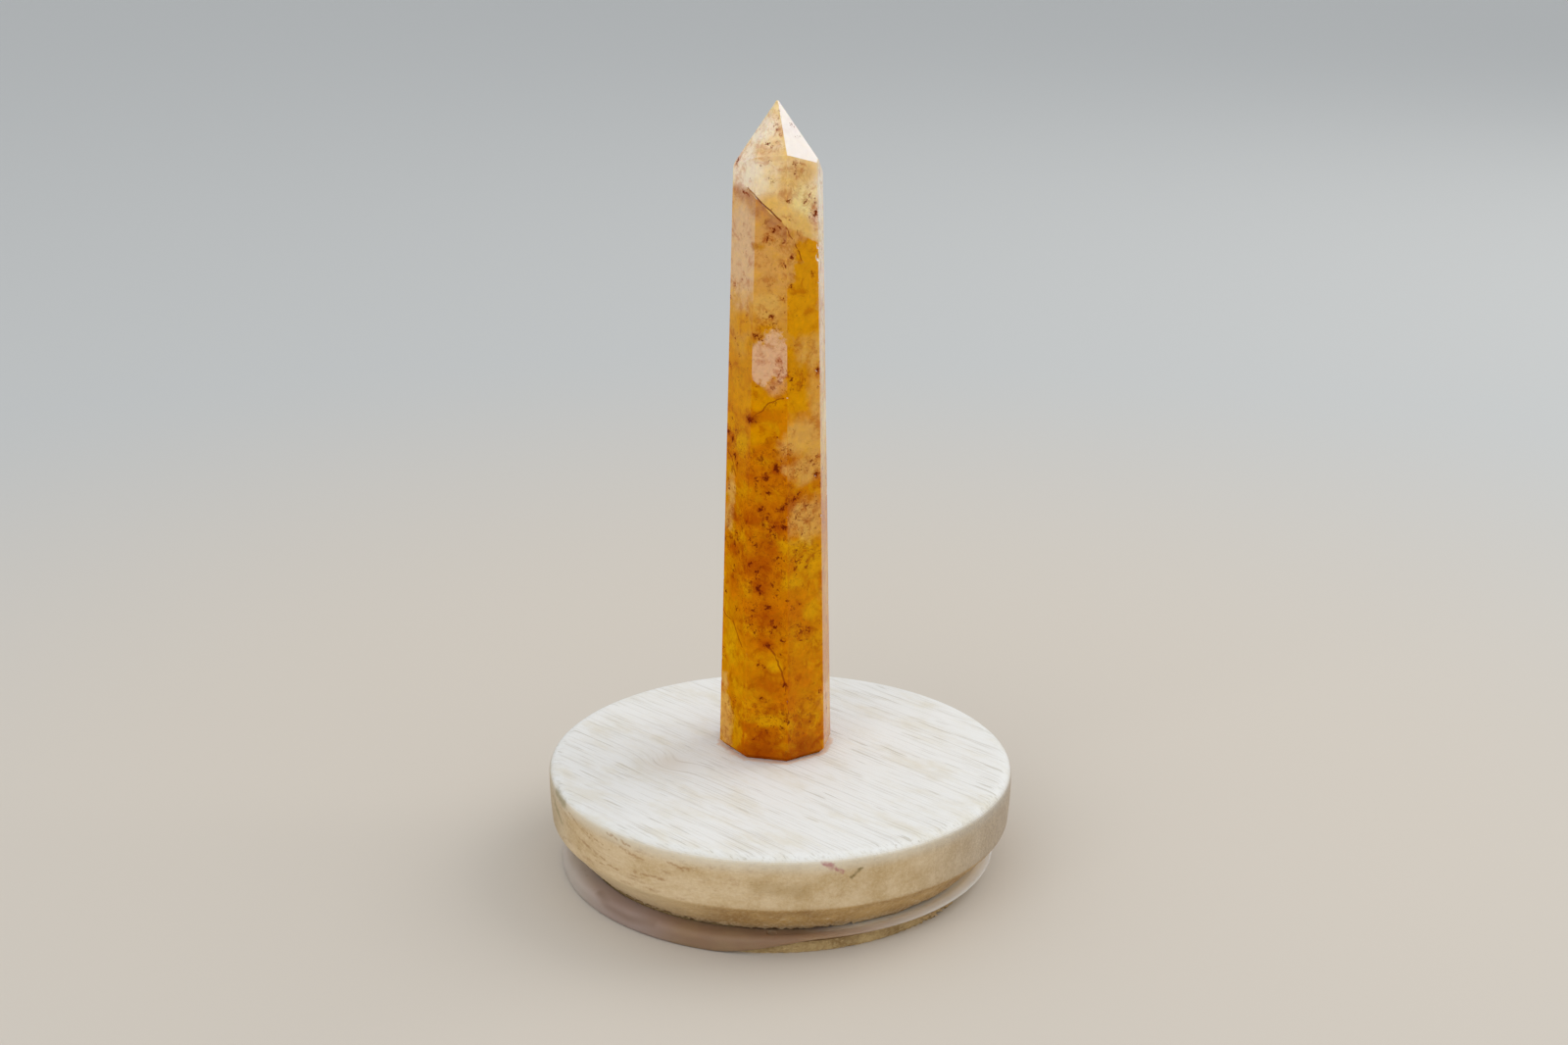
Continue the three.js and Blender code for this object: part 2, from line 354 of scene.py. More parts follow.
# The stone: its flat faces are the frame's own, with worn edges, a crack and lost flakes
stone = {
    "node": "quartz_obelisk",
    "axis": Vector((-0.91, 6.42, boxes["quartz_obelisk"][0].z)),
    "height": 112.0,
    "smallestFace": 3.0,  # square millimetres
    "sameFace": 0.9999,
    "flatWithin": 0.6,  # degrees
    "joinWithin": {"frame": 0.001, "cut": 0.0005, "corner": 0.01},
    "edgeWear": 0.17,
    "edgeSteps": 3,
    "cornersBetween": (2.0, 98.0),
    "crack": [(-48.7, 98.3), (-31.4, 97.4), (-21.4, 96.1), (-11, 95.1), (-2, 94.0), (3, 93.5)],
    "crackWidth": 0.13,
    "crackDepth": 1.6,  # in its own widths
    "crackOverlap": 0.2,
    "crackNarrowing": 0.7,
    "crackJitter": 0.12,
    "crackParts": 3,
    "flakes": [  # bearing, height, radius and how deep it bites
        (-79.3, 101.4, 1.6, 0.3), (57, 89, 0.8, 0.22), (57, 87.2, 1.1, 0.3), (98, 46, 1.5, 0.25),
        (11.5, 1.3, 1.7, 0.35), (141, 63, 1.8, 0.35), (235.5, 24, 1.6, 0.3),
        (53, 68.5, 0.5, 0.16), (49.8, 50.7, 0.5, 0.14),
    ],
    "flakeTall": 1.1,
    "flakeRipple": 0.12,
    "nicks": {"count": 26, "size": (0.25, 0.6), "length": (0.8, 1.8), "ripple": 0.3,
              "out": 0.62, "along": (0.04, 0.96)},
    "leftFace": towards(-56.4, 1.4),
    "rightFace": towards(78.9, 1.4),
    "windowFacet": Vector((0.582, -0.535, 0.613)),  # the facet that faces the window; its near-white colour is painted reflection
    "goldSheen": "#e0a020",
    "warmSheen": "#ffe2b0",
    "smoothUpTo": 34,
    "seed": 7,
}


# The planes of the frame's stone that are big enough to be ground faces
def flatFaces(node, smallest):
    bm = bmesh.new()
    bm.from_mesh(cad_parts[node].data)
    bmesh.ops.scale(bm, vec=(1 / metresPerMm,) * 3, verts=bm.verts)
    bmesh.ops.remove_doubles(bm, verts=bm.verts, dist=stone["joinWithin"]["frame"])
    flatWithin = math.radians(stone["flatWithin"])
    bmesh.ops.dissolve_limit(bm, angle_limit=flatWithin, verts=bm.verts, edges=bm.edges)
    found = []
    for face in sorted(bm.faces, key=lambda f: -f.calc_area()):
        known = any(face.normal.dot(plane[0]) > stone["sameFace"] for plane in found)
        if face.calc_area() > smallest and not known:
            found.append((face.normal.copy(), face.verts[0].co.copy()))
    bm.free()
    return found


stoneFaces = flatFaces(stone["node"], stone["smallestFace"])


# The point of the stone's surface at a bearing and a height above the lid
def onStone(bearing, height):
    ray = towards(bearing)
    start = stone["axis"] + Vector((0, 0, height))
    reaches = [(point - start).dot(normal) / ray.dot(normal)
               for normal, point in stoneFaces if ray.dot(normal) > 0.05]
    return start + ray * min(reach for reach in reaches if reach > 0)


# The same point, from the stone's own axis at its foot
def onStoneLocal(bearing, height):
    return onStone(bearing, height) - stone["axis"]


def cutStone():
    low, high = boxes[stone["node"]]
    near = stone["joinWithin"]
    bm = bmesh.new()
    bmesh.ops.create_cube(bm, size=1.0)
    bmesh.ops.scale(bm, vec=high - low, verts=bm.verts)
    bmesh.ops.translate(bm, vec=(low + high) / 2, verts=bm.verts)
    for normal, point in stoneFaces:
        parts = bm.verts[:] + bm.edges[:] + bm.faces[:]
        cut = bmesh.ops.bisect_plane(bm, geom=parts, dist=near["cut"], plane_co=point,
                                     plane_no=normal, clear_outer=True)
        rim = [part for part in cut["geom_cut"] if isinstance(part, bmesh.types.BMEdge)]
        if len(rim) > 2 and all(edge.is_boundary for edge in rim):
            bmesh.ops.contextual_create(bm, geom=rim)
    bmesh.ops.remove_doubles(bm, verts=bm.verts, dist=near["corner"])
    bmesh.ops.recalc_face_normals(bm, faces=bm.faces)
    worn = [edge for edge in bm.edges if min(v.co.z for v in edge.verts) > low.z + near["corner"]]
    bmesh.ops.bevel(bm, geom=worn, offset=stone["edgeWear"], segments=stone["edgeSteps"],
                    profile=0.5, affect="EDGES", clamp_overlap=True)
    return storeMesh("polishedStone", bm)


lumpWaves = 1.7


# A lump with a shell-like ripple, for what breaks out of an edge
def addLump(bm, centre, radii, ripple, seed):
    made = bmesh.ops.create_icosphere(bm, subdivisions=3, radius=1.0)["verts"]
    for vert in made:
        spot = vert.co.copy()
        wave = 1 + ripple * noise.noise(spot * lumpWaves + Vector((seed, 0, 0)))
        vert.co = Vector(r * c for r, c in zip(radii, spot)) * wave + centre


# One straight length of the crack: a groove with three sides, wider at the surface
def addCrackLength(bm, start, end, width):
    along = end - start
    outward = (start + end) / 2 - stone["axis"]
    outward.z = 0
    outward.normalize()
    across = outward.cross(along).normalized()
    depth = outward * width * stone["crackDepth"]
    lip = across * width / 2
    overlap = along.normalized() * width * stone["crackOverlap"]
    ends = []
    for place in (start - overlap, end + overlap):
        ends.append([bm.verts.new(place + outward * width + lip * 2),
                     bm.verts.new(place + outward * width - lip * 2),
                     bm.verts.new(place - depth)])
    first, last = ends
    bm.faces.new(first)
    bm.faces.new(reversed(last))
    for i in range(3):
        j = (i + 1) % 3
        bm.faces.new((first[i], last[i], last[j], first[j]))


def flakeCutter(rand):
    cutter = bmesh.new()
    for i, (bearing, height, radius, bite) in enumerate(stone["flakes"]):
        centre = onStone(bearing, height) + towards(bearing) * (radius - bite)
        addLump(cutter, centre, (radius, radius, radius * stone["flakeTall"]), stone["flakeRipple"], i)
    nicks = stone["nicks"]
    corners = stoneCorners()
    for i in range(nicks["count"]):
        low, high = corners[i % len(corners)]
        place = low.lerp(high, rand.uniform(*nicks["along"]))
        size = rand.uniform(*nicks["size"])
        outward = place - stone["axis"]
        outward.z = 0
        centre = place + outward.normalized() * size * nicks["out"]
        radii = (size, size, size * rand.uniform(*nicks["length"]))
        addLump(cutter, centre, radii, nicks["ripple"], 20 + i)
    return storeMesh("cutter", cutter)


def crackCutter(rand):
    cracks = bmesh.new()
    stops = []
    parts = stone["crackParts"]
    for start, end in zip(stone["crack"], stone["crack"][1:]):
        for part in range(parts):
            share = part / parts
            stops.append([a + (b - a) * share for a, b in zip(start, end)])
    stops.append(list(stone["crack"][-1]))
    jitter = stone["crackJitter"]
    points = [onStone(bearing, height + rand.uniform(-jitter, jitter)) for bearing, height in stops]
    for i, (start, end) in enumerate(zip(points, points[1:])):
        width = stone["crackWidth"] * (1 - stone["crackNarrowing"] * i / len(points))
        addCrackLength(cracks, start, end, width)
    return storeMesh("cutter", cracks)


def makeStone():
    piece = cutStone()
    rand = random.Random(stone["seed"])
    carve(piece, flakeCutter(rand))
    carve(piece, crackCutter(rand))
    shadeByAngle(piece, stone["smoothUpTo"], weighted=True)
    return piece


# The long upright corners between the ground sides, as pairs of points
def stoneCorners():
    sides = [face for face in stoneFaces if abs(face[0].z) < 0.1]
    sides.sort(key=lambda face: bearingOf(face[0]))
    up = Vector((0, 0, 1))
    corners = []
    for side, following in zip(sides, sides[1:] + sides[:1]):
        levels = [Vector((0, 0, stone["axis"].z + height)) for height in stone["cornersBetween"]]
        corners.append([meeting(side, following, (up, level)) for level in levels])
    return corners


# The point that three planes share
def meeting(*planes):
    rows = Matrix([normal for normal, point in planes])
    return rows.inverted() @ Vector([normal.dot(point) for normal, point in planes])


stonePiece = makeStone()
print("stone made:", len(stonePiece.data.polygons), "faces")


# Colours of the quartz under its skin. Above and below the split they are ramps from the foot
# (0) to the tip (1)
quartzColour = {
    "above": [(0.82, "#e2b466"), (0.9, "#edcc94"), (0.94, "#f0d2a0"), (1.0, "#f2dcb6")],
    "below": [(0.0, "#a04a02"), (0.03, "#b35c02"), (0.08, "#c88004"), (0.22, "#cb8003"),
              (0.42, "#c87803"), (0.55, "#cf8204"), (0.62, "#d08a08"), (0.68, "#d19434"),
              (0.76, "#d69d50"), (0.9, "#d8a05a")],
    # The first colour on the next line is painted reflection: the window mirrored near-white in the
    # facet that faces it
    "clear": "#dcd6d4", "milkAndGlare": "#f7e7cf", "pale": "#dcab58", "sand": "#dcb78e",
    "pink": "#deb088", "rose": "#a86848", "paleStrawAndGlare": "#f3dc9c", "straw": "#dda850",
    "lemon": "#d79c08", "gold": "#d89200", "ochre": "#bb7a05", "amber": "#c77004",
    "burnt": "#ae4e04", "foot": "#9c4603", "rust": "#8c3409", "blood": "#5e1604",
}
# The healed split runs through the whole stone: pale quartz above it, golden below.
# Three places on its edge give its plane
quartzSplit = {
    "edge": [(-49, 98.2), (-2, 94.0), (37.8, 90.6)],
    "level": 98.0,  # above this height all is pale
    "levelSoft": 1.1,
    "soft": 0.12,
    "shake": (2.0, 0.3),
    "tint": (0.6, 3.6),
    "tintSide": towards(-34.0),
}
# Soft layers of colour, from the deepest out. Each place is a bearing, a height above the lid,
# a half width and a half height. A layer with a side shows on that ground face alone
quartzLayers = [
    {"colour": "sand", "side": -56.4, "soft": 0.9, "strength": 0.85, "places": [
        (-58, 88.5, 6, 8.6)]},
    {"colour": "gold", "side": 35.4, "soft": 0.35, "strength": 0.95, "places": [
        (44, 88, 3, 2.6), (42, 84, 3, 4), (34, 80.5, 4.4, 3.6), (31, 77, 4.8, 3),
        (14, 73.6, 1.4, 3.6), (19, 66.6, 2.3, 2.4), (22, 63.6, 3.1, 2), (17, 76.8, 1.7, 3)]},
    {"colour": "gold", "side": -12.9, "soft": 0.6, "strength": 0.8, "places": [
        (3, 81.7, 0.9, 1.2), (-5, 78.7, 1.4, 0.8), (-15, 75.7, 1.9, 0.8), (-4, 63.4, 2.6, 1.3),
        (-22, 62.7, 1.5, 1.3), (-21, 57.7, 2.3, 2), (-6, 55.4, 1.8, 1.3)]},
    {"colour": "gold", "side": -56.4, "soft": 0.7, "strength": 0.85, "places": [
        (-37, 73.1, 1.7, 1.7), (-45, 63, 3.4, 2.5), (-73, 58.8, 2.3, 2), (-52, 76, 3, 2)]},
    {"colour": "amber", "side": None, "soft": 0.9, "strength": 0.85, "places": [
        (-10, 61.2, 2.3, 1), (-18, 55, 3, 1.5), (-13, 51, 4, 2.6), (-14, 44, 5, 3),
        (-60, 30.5, 2.4, 2.4), (-23, 34.7, 5, 4), (-8, 28, 5, 3.4), (-10, 21.6, 3, 1.8),
        (7, 12.6, 3, 2.8), (24, 26.9, 3, 2.3), (32, 15, 2.5, 2)]},
    {"colour": "burnt", "side": None, "soft": 1.0, "strength": 0.75, "places": [
        (0, 52.4, 0.8, 1), (-24, 43, 1.8, 1), (3, 41.6, 1.4, 0.9), (-12, 14, 2.8, 2.2),
        (-20, 35.7, 2.6, 2), (-16, 31.4, 2, 1.5), (-61, 42.5, 2.3, 1), (-64, 37, 2, 1.4),
        (-8, 26, 2.6, 1.5), (-10, 21.6, 1.7, 1), (6, 13.5, 1.2, 1), (21, 46.9, 1.4, 0.9),
        (-8, 38.5, 2.6, 1.6), (-4, 16.6, 2.2, 1.3)]},
    {"colour": "foot", "side": None, "soft": 1.5, "strength": 0.95, "places": [
        (-16, 0.8, 3.4, 2.4), (-2, 0.4, 2.6, 3.8), (13, 0.5, 3, 2.6), (30, 1, 3, 3),
        (-35, 0.8, 2, 1.8)]},
    {"colour": "lemon", "side": None, "soft": 0.7, "strength": 0.8, "places": [
        (-48, 56.2, 2.3, 2.3), (-34, 31, 1.4, 2.2), (-2, 17.5, 2, 1.3), (-7, 7.6, 3.2, 1.2),
        (8, 39.4, 1.6, 1.1), (12, 2.8, 0.6, 1.3), (-76, 27.5, 1.3, 3.4), (-64, 19.5, 2.2, 4),
        (22, 32.6, 1.9, 1.8), (28, 38.6, 3, 1.8), (42, 36.5, 3.2, 3.6), (43, 27, 2, 2),
        (-14, 42.6, 1.2, 0.8)]},
    {"colour": "pale", "side": 35.4, "soft": 0.9, "strength": 0.72, "places": [
        (34, 71.9, 1.7, 2.9), (51, 70.5, 1.9, 3.8), (54, 63, 2, 5), (33, 57.5, 4.2, 3.4),
        (50, 55.6, 2.8, 4.8), (38, 51.8, 4.4, 2.2), (40, 43, 4.6, 3.4), (30, 45, 3, 1.3),
        (57, 32, 0.9, 2), (57, 23, 0.9, 1)]},
    {"colour": "pale", "side": -12.9, "soft": 0.6, "strength": 0.7, "places": [
        (-22, 64.5, 0.9, 0.9), (4, 61.3, 1, 0.8), (-5, 77.6, 1.2, 1.1), (-15, 79.6, 3, 2.4),
        (11, 52.5, 1.4, 1.3), (10, 56, 1.9, 2.6)]},
    {"colour": "pale", "side": -56.4, "soft": 0.5, "strength": 0.7, "places": [
        (-71, 46.9, 1.6, 4), (-73, 42.6, 1.8, 3.3), (-72, 5.5, 2.6, 5.4), (-73, 11.9, 1.5, 2.4)]},
    {"colour": "lemon", "side": -56.4, "soft": 0.9, "strength": 0.4, "places": [
        (-50, 5, 2.2, 3.4)]},
    # On the right face these two layers are painted reflection: seen at a grazing angle it mirrors the
    # bright room and looks pale
    {"colour": "milkAndGlare", "side": 79.0, "soft": 1.2, "strength": 0.7, "places": [
        (84, 90, 5, 12), (80, 72, 2.6, 7), (92, 60, 2, 3)]},
    {"colour": "paleStrawAndGlare", "side": 79.0, "soft": 1.2, "strength": 0.6, "places": [
        (76, 58, 3.4, 9)]},
    # Its first three places, on the right face, are painted reflection; the others are pale patches
    {"colour": "pale", "side": None, "soft": 1.2, "strength": 0.65, "places": [
        (84, 50, 2.8, 5), (92, 30, 3.4, 7), (86, 8, 3.4, 6), (110, 70, 4, 5), (150, 24, 4, 5),
        (225, 70, 4, 6)]},
    {"colour": "rust", "side": None, "soft": 1.0, "strength": 0.75, "places": [
        (-33, 60.3, 1.5, 0.9), (-26, 61, 1.1, 0.5)]},
    {"colour": "pink", "side": -12.9, "soft": 0.16, "strength": 0.95, "places": [
        (-16, 70.4, 3.4, 3.8), (-4, 71.4, 3, 4.4), (4, 72.2, 2, 4.6), (-25, 70.6, 2.4, 3.4)]},
    {"colour": "pink", "side": -12.9, "soft": 0.9, "strength": 0.55, "places": [
        (-2, 66.4, 2, 1.6)]},
    {"colour": "ochre", "side": None, "soft": 0.7, "strength": 0.8, "places": [
        (-25, 89.3, 1.4, 0.9), (14, 91.3, 1.2, 1), (19, 89.6, 1, 1.2), (23, 87.6, 0.9, 1.2),
        (-35, 73.4, 1.3, 1), (14, 66.5, 0.6, 2.2), (52, 95, 0.8, 1.5), (30, 99.5, 0.6, 2)]},
]
# The same for the pale quartz above the split
upperLayers = [
    # The last place of the next layer, on the right face, is painted reflection
    {"colour": "milkAndGlare", "side": None, "soft": 0.9, "strength": 0.8, "places": [
        (-60, 100.8, 5.2, 3.9), (-50, 107, 3, 2.4), (-12, 104, 2, 1.4), (84, 97, 4, 8)]},
    {"colour": "straw", "side": None, "soft": 0.9, "strength": 0.55, "places": [
        (18, 98.5, 1.8, 4.6), (-12, 103.6, 3, 0.8), (-9, 106, 0.9, 1.8), (-9, 96.2, 2.4, 1.6),
        (40, 101, 2.6, 1.8)]},
    {"colour": "paleStrawAndGlare", "side": 35.4, "soft": 0.7, "strength": 0.75, "places": [
        (36, 96.4, 2.8, 2.6), (48, 97.6, 1.6, 2)]},
    {"colour": "ochre", "side": 35.4, "soft": 0.9, "strength": 0.6, "places": [
        (52, 95.4, 1.1, 2), (21, 101.6, 0.6, 1), (15, 96.8, 0.5, 0.5)]},
]
# Where rust crumbs gather
rustClusters = [
    (-12, 52, 6, 4), (-18, 43, 8, 5), (-20, 34, 7, 5), (-10, 26, 6, 4), (-60, 40, 4, 6),
    (24, 45, 5, 3.5), (30, 37, 4, 3), (-70, 56, 2.5, 4), (50, 95, 1.6, 2.4), (52, 84, 1.2, 3.5),
    (-12, 77, 2.4, 1.5), (-8, 91, 2, 1.6), (18, 67, 3, 2), (30, 23, 2.4, 1.4), (-5, 8, 8, 4),
    (54, 52, 2, 4), (140, 50, 6, 10), (215, 42, 6, 10), (180, 84, 5, 5), (235, 76, 4, 5),
    (120, 18, 5, 5),
]
# Dark flecks: bearing, height, half width, half height
quartzSpots = [
    (6.8, 110.3, 0.14, 0.5), (2.4, 109.5, 0.16, 0.3), (-8.3, 109, 0.2, 0.16),
    (-9.3, 108.2, 0.18, 0.26), (-5.4, 107.6, 0.22, 0.2), (1.5, 106.8, 0.2, 0.18),
    (-12.3, 104.9, 0.22, 0.22), (42.7, 108.2, 0.35, 0.2), (52.1, 107.6, 0.35, 0.2),
    (39, 106.3, 0.2, 0.2), (49.5, 106.3, 0.25, 0.2), (-80.4, 102.3, 0.5, 0.9),
    (-59.3, 97.5, 0.5, 0.25), (-51, 97.4, 0.35, 0.2), (21.7, 102.4, 0.25, 0.5),
    (21.7, 101.1, 0.25, 0.5), (32.8, 102.4, 0.25, 0.3), (38.2, 96.4, 0.4, 0.35),
    (44.6, 97.2, 0.3, 0.3), (53.4, 94.2, 0.35, 0.8), (12.1, 96.8, 0.38, 0.35),
    (-6.9, 91.9, 0.4, 0.35), (-14.5, 90.6, 0.5, 0.35), (-18.3, 90, 0.3, 0.3),
    (0.5, 92.5, 0.35, 0.3), (17.5, 87.5, 0.35, 0.3), (47.8, 84.7, 0.3, 0.4),
    (-74.4, 82.1, 0.35, 0.5), (-58.3, 83.1, 0.3, 0.3), (-84, 79.7, 0.3, 0.4),
    (-44.5, 77.4, 0.25, 0.4), (-69, 73.2, 0.3, 0.25), (-82.3, 68.6, 0.35, 0.4),
    (5.2, 80.9, 0.45, 0.35), (13.9, 82.9, 0.4, 0.4), (-8.5, 77.9, 0.4, 0.3),
    (-28.9, 74.5, 0.6, 0.5), (-21.8, 74, 0.4, 0.3), (1.6, 70.5, 0.4, 0.3),
    (3.9, 69.7, 0.25, 0.35), (-23.4, 66.3, 0.4, 0.2), (11.5, 68.1, 0.3, 0.25),
    (55.1, 68.4, 0.5, 0.8), (51.3, 50.6, 0.45, 0.8), (-33.9, 60.4, 1.3, 0.8),
    (-80.4, 56.7, 0.6, 0.5), (-69.9, 55.9, 0.6, 0.6), (-64.6, 53, 0.5, 0.6),
    (-59.7, 51.8, 0.4, 0.5), (-0.2, 57.6, 0.3, 0.25), (4.4, 53.8, 0.3, 0.2),
    (0.1, 52.4, 0.7, 1.0), (-12.6, 50.6, 0.6, 0.5), (-10.1, 48.1, 0.5, 0.4),
    (20.6, 46.9, 0.8, 0.5), (26, 47.9, 0.5, 0.35), (-2.9, 42.4, 0.8, 0.6), (7.9, 42.3, 0.8, 0.35),
    (-19.2, 45.1, 0.7, 0.5), (-56.2, 40, 0.5, 0.3), (-30.6, 35.5, 0.42, 0.42),
    (-21.8, 34.1, 0.45, 0.4), (-20.4, 31.3, 0.7, 0.9), (-17, 30.5, 0.5, 0.5),
    (28.5, 36.7, 0.4, 0.4), (20.6, 34.9, 0.35, 0.35), (26.3, 28.5, 0.35, 0.35),
    (-8.9, 28, 0.9, 0.4), (-2, 24.6, 0.7, 0.5), (6.4, 22.2, 0.5, 0.5), (-8.5, 21.1, 1.0, 0.6),
    (37.6, 23.4, 0.8, 0.35), (9.5, 14.4, 0.7, 0.45), (-16.2, 11.4, 0.55, 0.3),
    (-19.4, 17.8, 0.3, 0.6), (-13.8, 17.3, 0.45, 0.25), (22.1, 15, 0.22, 0.4),
    (-22.7, 3.9, 0.5, 0.35), (50.8, 5.5, 0.25, 0.25), (26, 6.8, 0.25, 0.25),
    (53.6, 11.9, 0.3, 0.4), (72, 9.6, 0.24, 1.1), (75, 7.2, 0.3, 0.9), (70, 4.6, 0.22, 0.7),
]
# Veins: half width, and the places they run through
quartzVeins = [
    (0.13, [(-35.5, 60.2), (-27.5, 61.0), (-18.3, 62.2), (-11.1, 63.3), (-4, 63.9), (7.3, 64.5)]),
    (0.12, [(-6.6, 67.5), (-0.6, 67.9), (4, 69.2)]),
    (0.16, [(8, 92.5), (13, 91.4), (19.4, 90.2), (26.8, 88.3), (33, 86.6)]),
    (0.24, [(-8.3, 20.9), (-1.4, 19.6), (3.2, 17.5), (7.3, 15.9), (9.5, 14.6)]),
    (0.13, [(9.5, 14.6), (11.6, 11.6), (13.2, 9)]),
    (0.16, [(-82, 25.4), (-74.6, 24.4), (-60.1, 23.9), (-51.3, 22.3), (-41, 20.2)]),
    (0.16, [(-80, 53.5), (-71, 52.4), (-64, 50.6), (-60, 49.8)]),
    (0.2, [(-61, 97.8), (-56, 97.3), (-51, 97.5), (-45, 97)]),
    (0.1, [(14, 24.6), (22, 24.9), (30, 24.2), (38, 23.6)]),
    (0.1, [(150, 88), (160, 80), (172, 74), (181, 65)]),
    (0.12, [(225, 48), (240, 43), (252, 40)]),
]


farOff = 9.0


# How far off the nearest of some places on the stone is, in that place's own sizes
def nearestPlace(tree, vector, places):
    nearest = farOff
    for bearing, height, across, tall in places:
        stretch = Vector((1 / across, 1 / across, 1 / tall))
        shift = -onStoneLocal(bearing, height) * stretch
        away = vectors(tree, "MULTIPLY_ADD", vector, stretch, shift)
        nearest = maths(tree, "MINIMUM", nearest, vectors(tree, "LENGTH", away, output="Value"))
    return nearest


# How far off a line through some points is, in its half widths, or what was nearer before
def nearestLine(tree, nearest, vector, points, width):
    for start, end in zip(points, points[1:]):
        along = end - start
        away = vectors(tree, "SUBTRACT", vector, start)
        share = vectors(tree, "DOT_PRODUCT", away, along / along.length_squared, output="Value")
        share = maths(tree, "MINIMUM", share, 1.0, clamp=True)
        off = vectors(tree, "DISTANCE", away, scaled(tree, along, share), output="Value")
        nearest = maths(tree, "MINIMUM", nearest, maths(tree, "DIVIDE", off, width))
    return nearest


# Where a mark's edge starts and ends, in its own sizes, and how much it is shaken
quartzMarks = {
    "spots": (0.35, 1.2), "halo": (0.6, 2.4), "spotShake": (0.5, 0.46),
    "veins": (0.5, 1.0), "veinShake": (1.6, 0.2), "crack": (0.3, 1.0), "crackWidth": 0.2,
}


# Every mark of the stone is drawn in one group, from the lists above
def makeQuartzMarks():
    tree, given, wanted = newGroup(
        "quartz marks",
        {"Vector": ("vector", (0, 0, 0))},
        {"Spots": "value", "Halo": "value", "Veins": "value", "Crack": "value"})
    look = quartzMarks
    ragged = wobbled(tree, given["Vector"], *look["spotShake"])
    away = nearestPlace(tree, ragged, quartzSpots)
    give(tree, opposite(tree, rise(tree, away, *look["spots"])), wanted["Spots"])
    give(tree, opposite(tree, rise(tree, away, *look["halo"])), wanted["Halo"])
    waved = wobbled(tree, given["Vector"], *look["veinShake"])
    away = farOff
    for width, places in quartzVeins:
        points = [onStoneLocal(*place) for place in places]
        away = nearestLine(tree, away, waved, points, width)
    give(tree, opposite(tree, rise(tree, away, *look["veins"])), wanted["Veins"])
    points = [onStoneLocal(*place) for place in stone["crack"]]
    away = nearestLine(tree, farOff, given["Vector"], points, look["crackWidth"])
    give(tree, opposite(tree, rise(tree, away, *look["crack"])), wanted["Crack"])
    return tree


# Shake makes a layer's edge ragged
def layerMask(tree, vector, shake, layer):
    away = maths(tree, "ADD", nearestPlace(tree, vector, layer["places"]), shake)
    soft = layer["soft"] / 2
    inside = rise(tree, away, 1 - soft, 1 + soft)
    mask = maths(tree, "MULTIPLY_ADD", inside, -layer["strength"], layer["strength"])
    if layer["side"] is not None:
        mask = maths(tree, "MULTIPLY", mask, facingWay(tree, towards(layer["side"])))
    return mask


# 1 above the split, 0 below it, and how far below it a place lies
def splitSides(tree, vector):
    a, b, c = (onStoneLocal(*place) for place in quartzSplit["edge"])
    upward = (b - a).cross(c - a).normalized()
    upward *= math.copysign(1, upward.z)
    away = vectors(tree, "DOT_PRODUCT", vectors(tree, "SUBTRACT", vector, a), upward, output="Value")
    level, soft = quartzSplit["level"], quartzSplit["levelSoft"]
    height = newNode(tree, "SeparateXYZ", {0: vector}).outputs["Z"]
    high = rise(tree, height, level - soft, level + soft)
    above = maths(tree, "MAXIMUM", rise(tree, away, -quartzSplit["soft"], quartzSplit["soft"]), high)
    return above, maths(tree, "MULTIPLY", away, -1.0)


# The noise behind each kind of cloud, with sizes in millimetres
quartzNoises = {
    "drift": {"size": 9.0, "detail": 3.0, "roughness": 0.55},
    "deep": {"size": 5.0, "detail": 5.0, "roughness": 0.62, "distortion": 0.6},
    "shallow": {"size": 3.4, "detail": 5.0, "roughness": 0.66, "distortion": 0.9},
    "shake": {"size": 2.6, "detail": 5.0, "roughness": 0.62},
    "point": {"size": 4.2, "detail": 5.0, "roughness": 0.62, "distortion": 0.8},
    "stain": {"size": 1.6, "detail": 5.0, "roughness": 0.65},
    "fine": {"size": 2.1, "detail": 6.0, "roughness": 0.68, "distortion": 0.5},
    "speckle": {"size": 0.7, "detail": 4.0, "roughness": 0.7},
}
# How strongly each cloud shows, and the edge where its noise starts to show and is full
quartzClouds = {
    "driftBy": 16.0, "shakeBy": 1.5, "golden": (58.0, 80.0),
    "deep": 0.5, "deepEdge": (0.46, 0.6),
    "shallow": 0.22, "shallowMoreBelow": 0.3, "shallowEdge": (0.5, 0.62),
    "point": 0.45, "pointEdge": (0.48, 0.7),
    "stain": (0.35, 0.85), "stainEdge": (0.35, 0.62),
    "light": 0.34, "lightEdge": (0.5, 0.68), "warm": 0.45, "warmEdge": (0.34, 0.5),
    "speckle": (0.93, 1.08), "speckleEdge": (0.3, 0.7),
}


def quartzTones():
    return {name: tone(text) for name, text in quartzColour.items() if isinstance(text, str)}


